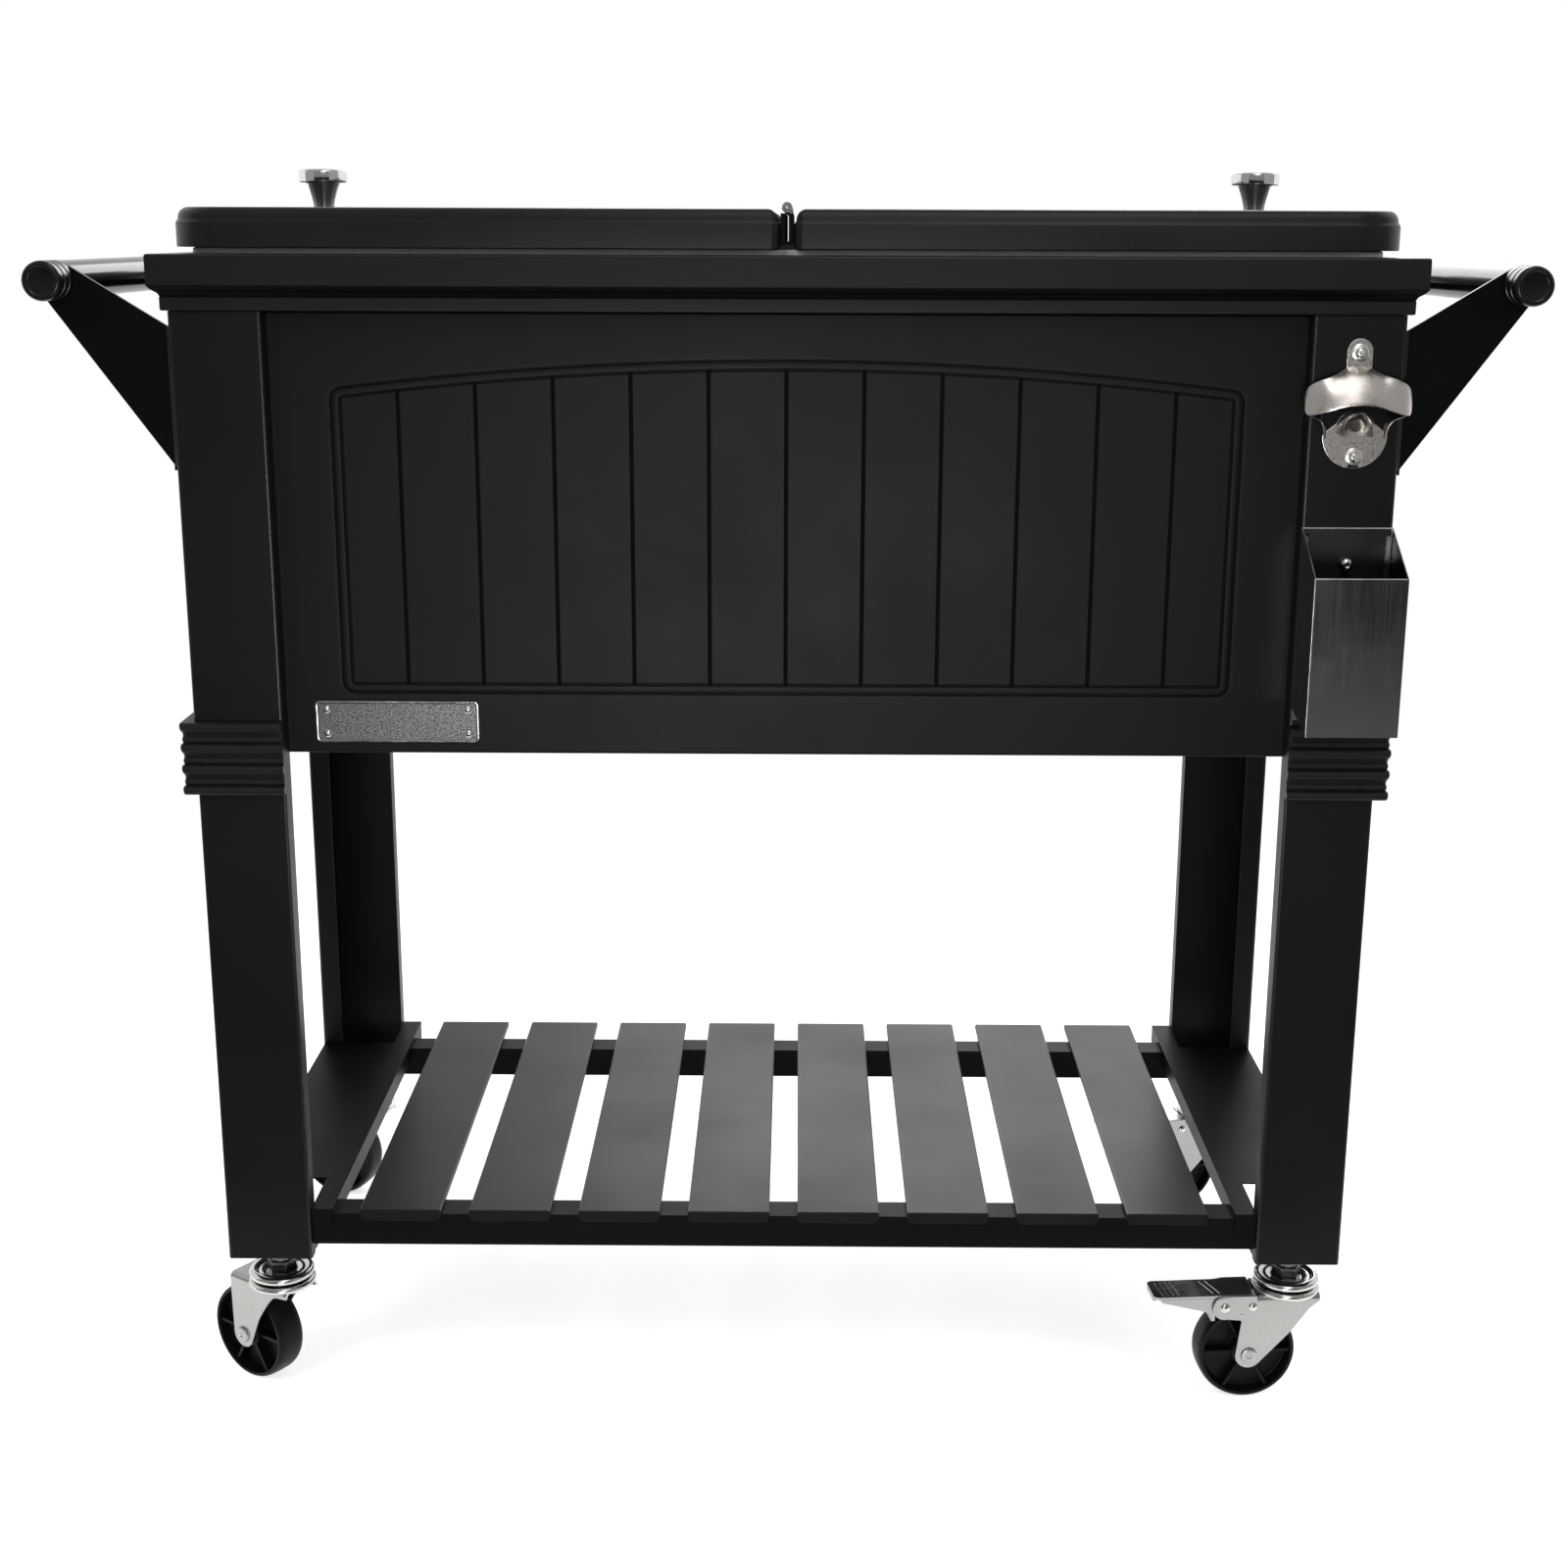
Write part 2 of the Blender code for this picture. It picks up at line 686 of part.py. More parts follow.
def groove_prisms(root_y, depth):
    """One upright wedge on each groove line, from the field's foot up to its arch, as one mesh."""
    work = bmesh.new()
    count = int((FIELD_HALF_WIDTH - FIELD_SLOPE - GROOVE_WIDTH) / GROOVE_PITCH)
    apex = field_apex() - FIELD_SLOPE
    radius = FIELD_ARCH_RADIUS
    low = CABINET_Z + FIELD_BELOW + FIELD_SLOPE
    for k in range(-count, count + 1):
        x = k * GROOVE_PITCH
        high = apex - radius + math.sqrt(radius**2 - x**2)
        section = ((x - GROOVE_WIDTH / 2, root_y), (x + GROOVE_WIDTH / 2, root_y), (x, root_y + depth))
        foot = [work.verts.new((a, b, low)) for a, b in section]
        head = [work.verts.new((a, b, high)) for a, b in section]
        work.faces.new(foot)
        work.faces.new(head)
        for i in range(3):
            j = (i + 1) % 3
            work.faces.new((foot[i], foot[j], head[j], head[i]))
    bmesh.ops.recalc_face_normals(work, faces=work.faces)
    mesh = bpy.data.meshes.new("grooves")
    work.to_mesh(mesh)
    work.free()
    return add_object(mesh)


def make_cross_panel(name, end):
    """Front or back panel: a pan with its four edges turned in."""
    half = HALF_X - PANEL_RECESS
    outer = FRONT_SHEET_Y
    top = CROWN_Z - FIT
    body = box((-half, -outer, CABINET_Z), (half, -outer + PANEL_FLANGE, top))
    hollow = box(
        (-half + PANEL_WALL, -outer + PANEL_WALL, CABINET_Z + PANEL_WALL),
        (half - PANEL_WALL, -outer + PANEL_FLANGE + PAST, top - PANEL_WALL),
    )
    body = cut(body, hollow)
    if end > 0:
        moved(body, Matrix.Rotation(math.pi, 4, "Z"))
        return finish(body, name, "powder_coat")
    floor_y = -outer + FIELD_DEPTH
    draw = FIELD_SLOPE / FIELD_DEPTH
    boss = field_prism(-PANEL_WALL, -outer + PANEL_WALL / 2, FIELD_SLOPE - PANEL_WALL, floor_y + PANEL_WALL)
    ribs = groove_prisms(floor_y + PANEL_WALL / 2, GROOVE_DEPTH + PANEL_WALL / 2)
    body = union(body, boss, ribs)
    pocket = field_prism(-draw * PAST, -outer - PAST, FIELD_SLOPE, floor_y)
    grooves = groove_prisms(floor_y - OVERLAP, GROOVE_DEPTH + OVERLAP)
    return finish(cut(body, pocket, grooves), name, "powder_coat")


def make_side_panel(side_name):
    """Side panel: sheet between the front and back panels, its bottom edge turned in."""
    side = SIDES[side_name]
    half = FRONT_SHEET_Y - PANEL_WALL - FIT
    low = CABINET_Z + PANEL_WALL + FIT
    high = CROWN_Z - PANEL_WALL - 2 * FIT
    inner = SIDE_SHEET_X - PANEL_FLANGE
    section = [
        (SIDE_SHEET_X, low),
        (SIDE_SHEET_X, high),
        (SIDE_SHEET_X - PANEL_WALL, high),
        (SIDE_SHEET_X - PANEL_WALL, low + PANEL_WALL),
        (inner, low + PANEL_WALL),
        (inner, low),
    ]
    body = plate([(side * x, z) for x, z in section], -half, half, "XZ")
    return finish(body, f"{side_name}_side_panel", "powder_coat")


def make_base_pan():
    """Bottom of the cabinet: a pan with raised edges, resting on the side panels' turned edges."""
    half_x = SIDE_SHEET_X - PANEL_WALL - FIT
    half_y = FRONT_SHEET_Y - PANEL_WALL - FIT
    low = BASE_Z
    body = box((-half_x, -half_y, low), (half_x, half_y, low + BASE_FLANGE))
    inside = PANEL_WALL
    hollow = box(
        (-half_x + inside, -half_y + inside, low + PANEL_WALL),
        (half_x - inside, half_y - inside, low + BASE_FLANGE + PAST),
    )
    hole = cylinder(DRAIN_RADIUS + FIT, low - PAST, low + BASE_FLANGE, (DRAIN_X, 0))
    return finish(cut(body, hollow, hole), "base_pan", "powder_coat")


def make_insulation():
    """Foam between the tub and the cabinet."""
    half_x = SIDE_SHEET_X - 2 * PANEL_WALL - 2 * FIT
    half_y = FRONT_SHEET_Y - 2 * PANEL_WALL - FIELD_DEPTH - GROOVE_DEPTH - 2 * FIT
    low = BASE_Z + PANEL_WALL + FIT
    high = CROWN_Z - PANEL_WALL - 3 * FIT
    body = box((-half_x, -half_y, low), (half_x, half_y, high))
    grow = TUB_WALL + FIT
    rings = [lifted(tub_plan(grow, z), z) for z in (TUB_FLOOR_Z - grow, high + PAST)]
    cavity = loft(rings)
    hole = cylinder(DRAIN_RADIUS + FIT, low - PAST, TUB_FLOOR_Z, (DRAIN_X, 0))
    return finish(cut(body, cavity, hole), "insulation", "foam")


def profile_frame(profile):
    """A mitred frame round the legs: each profile point is (distance out from the legs, height)."""
    rings = []
    for out, height in profile:
        x, y = HALF_X + out, HALF_Y + out
        rings.append([(-x, -y, height), (x, -y, height), (x, y, height), (-x, y, height)])
    return looped_loft(rings)


def make_crown():
    """Rolled moulding round the top: lower fascia, cove, upper fascia, deck and turned-down edge."""
    wall = CROWN_WALL
    cove_low = CROWN_Z + CROWN_LOWER_FASCIA
    cove_high = cove_low + CROWN_COVE
    run = CROWN_OUT - CROWN_LOWER_OUT
    inner = CROWN_OUT - CROWN_DECK
    cove = []
    for k in range(5):
        angle = math.radians(90 * k / 4)
        cove.append((CROWN_OUT - run * math.cos(angle), cove_low + CROWN_COVE * math.sin(angle)))
    cove[-1] = (CROWN_OUT - CROWN_EDGE / 2, cove_high)
    outside = [(-CROWN_LOWER_FLANGE, CROWN_Z), (CROWN_LOWER_OUT, CROWN_Z)] + cove
    outside += [
        (CROWN_OUT, cove_high + CROWN_EDGE / 2),
        (CROWN_OUT, DECK_Z - CROWN_EDGE),
        (CROWN_OUT - CROWN_EDGE * 0.3, DECK_Z - CROWN_EDGE * 0.3),
        (CROWN_OUT - CROWN_EDGE, DECK_Z),
        (inner, DECK_Z),
        (inner, DECK_Z - CROWN_TURN_DOWN),
    ]
    inside = [
        (inner + wall, DECK_Z - CROWN_TURN_DOWN),
        (inner + wall, DECK_Z - wall),
        (CROWN_OUT - wall, DECK_Z - wall),
        (CROWN_OUT - wall, cove_high + wall),
        (CROWN_LOWER_OUT - wall, cove_low + wall),
        (CROWN_LOWER_OUT - wall, CROWN_Z + wall),
        (-CROWN_LOWER_FLANGE, CROWN_Z + wall),
    ]
    return finish(profile_frame(outside + inside), "crown_moulding", "powder_coat")


def tub_plan(grow, height, corner_extra=0.0):
    """Plan of the tub's inner face at a height, grown outwards; the walls draw in towards the floor."""
    share = (LIP_Z - height) / TUB_DEPTH
    half_x = TUB_HALF_X - TUB_DRAFT * share + grow
    half_y = TUB_HALF_Y - TUB_DRAFT * share + grow
    radius = TUB_CORNER + grow + corner_extra
    return rectangle(-half_x, half_x, -half_y, half_y, (radius,) * 4, 3)


def make_tub():
    """Moulded tub with a flat lip on the deck, drawn walls, a coved floor and a drain spout."""
    floor = TUB_FLOOR_Z
    cove = TUB_FLOOR_CORNER
    lip_x = HALF_X + CROWN_OUT - TUB_LIP_INSET
    lip_y = HALF_Y + CROWN_OUT - TUB_LIP_INSET
    lip = rectangle(-lip_x, lip_x, -lip_y, lip_y, (TUB_LIP_CORNER,) * 4, 3)
    under = DECK_Z + FIT
    rings = [lifted(tub_plan(TUB_WALL - cove, floor - TUB_WALL, corner_extra=cove / 2), floor - TUB_WALL)]
    for k in (1, 2, 3):
        angle = math.radians(30 * k)
        height = floor - TUB_WALL + cove * (1 - math.cos(angle))
        rings.append(lifted(tub_plan(TUB_WALL - cove * (1 - math.sin(angle)), height), height))
    rings.append(lifted(tub_plan(TUB_WALL, under), under))
    rings.append(lifted(lip, under))
    rings.append(lifted(lip, LIP_Z - TUB_LIP / 4))
    soft_x, soft_y = lip_x - TUB_LIP / 4, lip_y - TUB_LIP / 4
    soft = rectangle(-soft_x, soft_x, -soft_y, soft_y, (TUB_LIP_CORNER - TUB_LIP / 4,) * 4, 3)
    rings.append(lifted(soft, LIP_Z))
    rings.append(lifted(tub_plan(0, LIP_Z), LIP_Z))
    for k in (3, 2, 1):
        angle = math.radians(30 * k)
        height = floor + cove * (1 - math.cos(angle))
        rings.append(lifted(tub_plan(-cove * (1 - math.sin(angle)), height), height))
    rings.append(lifted(tub_plan(-cove, floor, corner_extra=cove / 2), floor))
    body = loft(rings)
    spout = cylinder(DRAIN_RADIUS, BASE_Z - DRAIN_REACH, floor - TUB_WALL / 2, (DRAIN_X, 0))
    bore = cylinder(DRAIN_BORE, BASE_Z - DRAIN_REACH - PAST, floor + PAST, (DRAIN_X, 0))
    return finish(cut(union(body, spout), bore), "inner_tub", "tub_plastic")


def make_drain_cap():
    """Screw cap under the spout, with grip scallops round its edge; its origin lies on the spout's axis."""
    low = -DRAIN_REACH - FIT - DRAIN_CAP_FLOOR
    inner = DRAIN_RADIUS + FIT
    outer = inner + DRAIN_CAP_WALL
    count = DRAIN_CAP_GRIPS * 4
    outline = []
    for k in range(count):
        radius = outer - (DRAIN_CAP_GRIP_DEPTH if k % 4 == 0 else 0.0)
        angle = math.tau * k / count
        outline.append((radius * math.cos(angle), radius * math.sin(angle)))
    body = plate(outline, low, low + DRAIN_CAP_HEIGHT)
    body = cut(body, cylinder(inner, low + DRAIN_CAP_FLOOR, low + DRAIN_CAP_HEIGHT + PAST))
    cap = finish(body, "drain_cap", "moulded_black")
    cap.location = (DRAIN_X, 0, BASE_Z)
    return cap


def lid_plan(inset, outer_corner, hinge_corner):
    """Plan of the right-hand lid drawn in by a distance, hinge edge at low X."""
    low_x = LID_HALF_GAP + inset
    high_x = HALF_X + CROWN_OUT - LID_INSET_X - inset
    half_y = HALF_Y + CROWN_OUT - LID_INSET_Y - inset
    hinge = max(hinge_corner - inset, LID_TIGHT_CORNER)
    outer = max(outer_corner - inset, LID_TIGHT_CORNER)
    return rectangle(low_x, high_x, -half_y, half_y, (hinge, outer, outer, hinge), 3)


def shoulder_rings(inset, top_z, radius, steps=3):
    """Rings of (inset, height) that turn the lid's wall over into its top."""
    found = []
    for k in range(steps + 1):
        angle = math.radians(90 * k / steps)
        found.append((inset + radius * (1 - math.cos(angle)), top_z - radius * (1 - math.sin(angle))))
    return found


def lid_ring(inset, height):
    """A ring of the lid, measured from the hinge axis."""
    plan = lid_plan(inset, LID_CORNER, LID_HINGE_CORNER)
    return [(x, y, height - HINGE_Z) for x, y in plan]


def mirror_to(obj, side):
    """Turns a right-hand lid piece into the left-hand one."""
    if side < 0:
        moved(obj, Matrix.Diagonal((-1, 1, 1, 1)))
    return obj


def make_lid_shell(side_name):
    """Pressed lid: upright wall, small step, rounded shoulder, open underneath."""
    step_z = LID_Z + LID_STEP_HEIGHT
    wall = LID_WALL
    outside = [(0, LID_Z), (0, step_z), (LID_STEP, step_z + LID_STEP / 2)]
    outside += shoulder_rings(LID_STEP, LID_TOP_Z, LID_SHOULDER)
    inside = [(wall, LID_Z), (wall, step_z - wall / 2), (LID_STEP + wall, step_z)]
    inside += shoulder_rings(LID_STEP + wall, LID_TOP_Z - wall, LID_SHOULDER - wall)
    rings = [lid_ring(inset, height) for inset, height in reversed(inside)]
    rings += [lid_ring(inset, height) for inset, height in outside]
    body = loft(rings)
    clear_x = CROSSBAR_WIDTH / 2 + FIT
    clear_y = HALF_Y + CROWN_OUT - TUB_LIP_INSET + FIT
    clear_z = CROSSBAR_Z + CROSSBAR_THICKNESS + FIT - HINGE_Z
    body = cut(body, box((0, -clear_y, LID_Z - PAST - HINGE_Z), (clear_x, clear_y, clear_z)))
    shell = finish(mirror_to(body, SIDES[side_name]), f"{side_name}_lid_shell", "powder_coat")
    shell.location = (0, 0, HINGE_Z)
    return shell


def make_lid_liner(side_name):
    """Insulated liner that fills the lid and drops into the tub as a plug."""
    start = CROSSBAR_WIDTH / 2 + 2 * FIT
    fit_in = LID_WALL + FIT
    high_x = HALF_X + CROWN_OUT - LID_INSET_X - fit_in
    half_y = HALF_Y + CROWN_OUT - LID_INSET_Y - fit_in
    outer = LID_CORNER - fit_in
    plug_x = TUB_HALF_X - LINER_PLUG_CLEARANCE
    plug_y = TUB_HALF_Y - LINER_PLUG_CLEARANCE
    plug_corner = TUB_CORNER - LINER_PLUG_CLEARANCE

    def ring(far_x, far_y, corner, height):
        plan = rectangle(start, far_x, -far_y, far_y, (LINER_EDGE, corner, corner, LINER_EDGE), 3)
        return [(x, y, height - HINGE_Z) for x, y in plan]

    step_z = LID_Z + LID_STEP_HEIGHT - LID_WALL
    top_z = LID_TOP_Z - LID_WALL - FIT
    draw = LID_STEP
    turn = LID_SHOULDER - LID_WALL
    rings = [
        ring(plug_x - LINER_EDGE, plug_y - LINER_EDGE, plug_corner, LID_Z - LINER_PLUG_DEPTH),
        ring(plug_x, plug_y, plug_corner, LID_Z - LINER_PLUG_DEPTH + LINER_EDGE),
        ring(plug_x, plug_y, plug_corner, LID_Z),
        ring(high_x, half_y, outer, LID_Z),
        ring(high_x, half_y, outer, step_z),
        ring(high_x - draw, half_y - draw, outer - draw, step_z + draw / 2),
        ring(high_x - draw, half_y - draw, outer - draw, top_z - turn),
        ring(high_x - draw - turn, half_y - draw - turn, outer - draw - turn, top_z),
    ]
    body = mirror_to(loft(rings), SIDES[side_name])
    liner = finish(body, f"{side_name}_lid_liner", "liner_plastic")
    liner.location = (0, 0, HINGE_Z)
    return liner


def make_crossbar():
    """Flat bar on the tub's lip under the gap between the lids."""
    half = HALF_Y + CROWN_OUT - TUB_LIP_INSET
    low = CROSSBAR_Z
    body = box(
        (-CROSSBAR_WIDTH / 2, -half, low), (CROSSBAR_WIDTH / 2, half, low + CROSSBAR_THICKNESS)
    )
    return finish(body, "hinge_crossbar", "powder_coat")


def make_hinge_leaf(side_name):
    """One leaf of the lid hinge with every other knuckle, measured from the hinge axis."""
    side = SIDES[side_name]
    low = CROSSBAR_Z + CROSSBAR_THICKNESS + 2 * FIT - HINGE_Z
    clear = math.sqrt((HINGE_RADIUS + 2 * FIT) ** 2 - HINGE_HALF_SLIT**2)
    near, far = HINGE_HALF_SLIT, LID_HALF_GAP - FIT
    half = HINGE_LENGTH / 2
    body = box((near, -half, low), (far, half, -clear))
    length = HINGE_LENGTH / HINGE_KNUCKLES
    first = 0 if side < 0 else 1
    bores = []
    for k in range(first, HINGE_KNUCKLES, 2):
        start = -half + k * length + FIT / 2
        stop = start + length - FIT
        barrel = cylinder(HINGE_RADIUS, start, stop, axis="Y", sides=10)
        tab = box((near, start, -clear - PAST), (HINGE_RADIUS - FIT, stop, -HINGE_PIN_RADIUS))
        body = union(body, barrel, tab)
        bores.append(cylinder(HINGE_PIN_RADIUS + FIT, start - PAST / 9, stop + PAST / 9, axis="Y", sides=6))
    body = cut(body, *bores)
    if side < 0:
        moved(body, Matrix.Diagonal((-1, 1, 1, 1)))
    leaf = finish(body, f"{side_name}_hinge_leaf", "zinc")
    leaf.location = (0, 0, HINGE_Z)
    return leaf


def make_hinge_pin():
    half = HINGE_LENGTH / 2
    pin = finish(cylinder(HINGE_PIN_RADIUS, -half, half, axis="Y", sides=12), "hinge_pin", "zinc")
    pin.location = (0, 0, HINGE_Z)
    return pin


def make_knob(side_name):
    """Turned knob: disc cap on a neck that flares up under it."""
    side = SIDES[side_name]
    neck = KNOB_NECK_HEIGHT
    top = neck + KNOB_CAP_HEIGHT
    cap = KNOB_CAP_RADIUS
    edge = KNOB_EDGE
    profile = [(0, top), (cap - edge, top), (cap, top - edge), (cap, neck + edge), (cap - edge, neck)]
    for k in range(4):
        share = k / 3
        flare = (1 - share) ** 1.6
        radius = KNOB_NECK_FOOT + (KNOB_NECK_TOP - KNOB_NECK_FOOT) * flare
        profile.append((radius, neck * (1 - share)))
    profile.append((0, 0))
    knob = finish(turned(profile, 16), f"{side_name}_lid_knob", "chrome")
    knob.location = (side * KNOB_X, 0, LID_TOP_Z + FIT)
    return knob


def eye_outline(root_low, root_high, eye, radius):
    """Outline of a flat bracket: a straight root edge and two edges that run out as tangents to an eye."""
    centre = Vector(eye)
    lower, upper = Vector(root_low), Vector(root_high)

    def tangent_angle(point, turn):
        arm = point - centre
        return math.degrees(math.atan2(arm.y, arm.x) + turn * math.acos(radius / arm.length))

    start = tangent_angle(lower, 1)
    stop = tangent_angle(upper, -1)
    while stop < start:
        stop += 360
    return [root_low] + arc(eye, radius, start, stop, 10) + [root_high]


def make_bracket(end_name, side_name):
    """Triangular handle bracket with an eye for the tube and a flange on the leg's side."""
    side, end = SIDES[side_name], ENDS[end_name]
    root = HALF_X + FIT
    top = CROWN_Z - BRACKET_TOP_DROP
    low = top - BRACKET_HEIGHT
    outline = eye_outline((root, low), (root, top), (HANDLE_X, HANDLE_Z), HANDLE_EYE_RADIUS)
    outer = -HALF_Y + BRACKET_INSET
    body = plate(outline, outer, outer + BRACKET_WALL, "XZ")
    flange = box((root, outer + OVERLAP, low), (root + BRACKET_WALL, outer + BRACKET_FLANGE, top))
    hole = cylinder(
        HANDLE_NECK_RADIUS + FIT, outer - PAST, outer + BRACKET_WALL + PAST, (HANDLE_X, HANDLE_Z), "Y", 12
    )
    body = cut(union(body, flange), hole)
    moved(body, Matrix.Diagonal((side, -end, 1, 1)))
    return finish(body, f"{end_name}_{side_name}_handle_bracket", "powder_coat")


def make_handle(side_name):
    """Handle tube with a ringed plug at each end, whose neck passes through the bracket's eye."""
    face = HALF_Y + PLUG_PROUD
    outer = HALF_Y - BRACKET_INSET + FIT
    inner = HALF_Y - BRACKET_INSET - BRACKET_WALL - FIT
    tube = HANDLE_TUBE_RADIUS
    cap = HANDLE_EYE_RADIUS
    groove = cap - PLUG_GROOVE_DEPTH
    pitch = (face - outer) / PLUG_RINGS
    half = [(0, face), (cap - PLUG_EDGE, face), (cap, face - PLUG_EDGE)]
    for k in range(1, PLUG_RINGS):
        behind = face - pitch * k
        half += [(cap, behind + PLUG_GROOVE_WIDTH), (groove, behind + PLUG_GROOVE_WIDTH / 2)]
        half += [(groove, behind), (cap, behind - PLUG_EDGE / 2)]
    half += [(cap, outer), (HANDLE_NECK_RADIUS, outer), (HANDLE_NECK_RADIUS, inner), (tube, inner)]
    profile = half + [(radius, -height) for radius, height in reversed(half)]
    body = turned(profile, 14, "Y")
    moved(body, Matrix.Translation((SIDES[side_name] * HANDLE_X, 0, HANDLE_Z)))
    return finish(body, f"{side_name}_handle", "gloss_black")


def catcher_x():
    return HALF_X - LEG_FACE / 2


def screw_z():
    return CROWN_Z - CATCHER_BACK_TOP - CATCHER_SCREW_BELOW_TOP


def opener_hood(face_y, top_z):
    """Bowed hood of the opener: a sheet that leans forward from the tab and sweeps back at its wings."""
    columns, rows = 10, 3
    work = bmesh.new()
    grid = []
    for i in range(columns + 1):
        across = -1 + 2 * i / columns
        x = OPENER_HALF_WIDTH * math.sin(math.radians(75 * across)) / math.sin(math.radians(75))
        bow = math.cos(math.radians(68 * across))
        crest = top_z - OPENER_CREST_DROP - OPENER_CREST_FALL * abs(across) ** 1.7
        brow = top_z - OPENER_BROW_DROP - OPENER_BROW_FALL * across**2
        column = []
        for j in range(rows + 1):
            down = j / rows
            root = 0.32 * abs(across) ** 1.5
            reach = OPENER_REACH * bow * (root + (1 - root) * math.sin(math.radians(90 * down)))
            point = (x, face_y - OPENER_PLATE / 2 - reach, crest + (brow - crest) * down)
            column.append(work.verts.new(point))
        grid.append(column)
    for left, right in zip(grid, grid[1:]):
        for j in range(rows):
            work.faces.new((left[j], left[j + 1], right[j + 1], right[j]))
    mesh = bpy.data.meshes.new("hood")
    work.to_mesh(mesh)
    work.free()
    obj = add_object(mesh)
    shell = obj.modifiers.new("shell", "SOLIDIFY")
    shell.thickness = OPENER_HOOD_WALL
    shell.offset = 0
    bpy.context.view_layer.update()
    return evaluated(obj)


def make_opener():
    """Wall-type bottle opener: tab, bowed hood and disc, with its cap ledge under the hood."""
    face_y = -HALF_Y - FIT
    top = CROWN_Z - OPENER_TOP_DROP
    disc_z = top - OPENER_HEIGHT + OPENER_DISC_RADIUS
    tab_z = top - OPENER_TAB_RADIUS
    waist = top - OPENER_WAIST_DROP
    outline = arc((0, tab_z), OPENER_TAB_RADIUS, 0, 180, 8)
    outline += [(-OPENER_TAB_RADIUS, waist)]
    outline += arc((0, disc_z), OPENER_DISC_RADIUS, 150, 390, 18)
    outline += [(OPENER_TAB_RADIUS, waist)]
    body = plate(outline, face_y - OPENER_PLATE, face_y, "XZ")
    body = union(body, opener_hood(face_y, top))
    ledge_y = face_y - OPENER_PLATE - OPENER_LEDGE_DEPTH
    ledge_z = disc_z + OPENER_LEDGE_RADIUS + OPENER_LEDGE_RISE
    ledge = cylinder(OPENER_LEDGE_RADIUS, ledge_y, face_y - OPENER_PLATE / 2, (0, ledge_z), "Y", 20)
    body = union(body, ledge)
    first = OPENER_TAB_RADIUS + OPENER_SCREW_INSET
    for drop in (first, first + OPENER_SCREW_SPACING):
        hole = cylinder(SCREW_RADIUS, face_y - OPENER_REACH, face_y + PAST, (0, top - drop), "Y", 12)
        body = cut(body, hole)
    moved(body, Matrix.Translation((catcher_x(), 0, 0)))
    return finish(body, "bottle_opener", "nickel")


def catcher_side(inset, open_top):
    """Side view (Y, Z) of the catcher, drawn in by its wall; the inner one runs out of the open top."""
    back_y = -HALF_Y - FIT - inset
    front_y = -HALF_Y - FIT - CATCHER_DEPTH + inset
    back_high = CROWN_Z - CATCHER_BACK_TOP
    back_low = back_high - CATCHER_BACK_HEIGHT + inset
    rise = CATCHER_DEPTH if open_top else 0.0
    return [
        (front_y, back_low - CATCHER_FLOOR_DROP),
        (back_y, back_low),
        (back_y, back_high + rise),
        (front_y, back_high - CATCHER_FRONT_DROP + rise),
    ]


def make_catcher():
    """Open box that catches the caps, hung on its screw by a keyhole in the back."""
    half = CATCHER_WIDTH / 2
    body = plate(catcher_side(0, False), -half, half, "YZ")
    body = cut(body, plate(catcher_side(CATCHER_WALL, True), -half + CATCHER_WALL, half - CATCHER_WALL, "YZ"))
    back = -HALF_Y
    slot_half = SCREW_RADIUS + FIT
    low = screw_z() - CATCHER_LIFT
    wide = cylinder(SCREW_HEAD_RADIUS + 2 * FIT, back - PAST, back + PAST, (0, low), "Y", 16)
    slot = box((-slot_half, back - PAST, low), (slot_half, back + PAST, screw_z()))
    crown = cylinder(slot_half, back - PAST, back + PAST, (0, screw_z()), "Y", 16)
    body = cut(body, wide, slot, crown)
    moved(body, Matrix.Translation((catcher_x(), 0, 0)))
    return finish(body, "cap_catcher", "brushed_steel")


def make_catcher_screw():
    """Round-head screw through the leg's face that the catcher hangs on."""
    head_y = -HALF_Y - 2 * FIT - CATCHER_WALL
    radius, height = SCREW_HEAD_RADIUS, SCREW_HEAD_HEIGHT
    dome = []
    for degrees in (0, 30, 55, 75):
        angle = math.radians(degrees)
        dome.append((radius * math.sin(angle), height * math.cos(angle)))
    shank = -CATCHER_WALL - LEG_WALL - SCREW_PAST_LEG
    profile = dome + [(radius, 0), (SCREW_RADIUS, 0), (SCREW_RADIUS, shank), (0, shank)]
    body = turned(profile, 16, "Y")
    moved(body, Matrix.Translation((catcher_x(), head_y, screw_z())) @ Matrix.Rotation(math.pi, 4, "X"))
    return finish(body, "catcher_screw", "zinc")


def make_plate():
    """Bare plate with a raised border on the front panel."""
    face = -FRONT_SHEET_Y - FIT
    low = CABINET_Z + PLATE_ABOVE_BOTTOM
    half = PLATE_LENGTH / 2
    outline = rectangle(PLATE_X - half, PLATE_X + half, low, low + PLATE_HEIGHT, (PLATE_CORNER,) * 4, 2)
    body = plate(outline, face - PLATE_THICKNESS, face, "XZ")
    border = PLATE_BORDER
    high = low + PLATE_HEIGHT
    left, right = PLATE_X - half + border, PLATE_X + half - border
    inner = rectangle(left, right, low + border, high - border, (border / 2,) * 4, 2)
    pocket = plate(inner, face - PLATE_THICKNESS - PAST, face - PLATE_THICKNESS + PLATE_BORDER_RISE, "XZ")
    return finish(cut(body, pocket), "front_plate", "cast_plate")


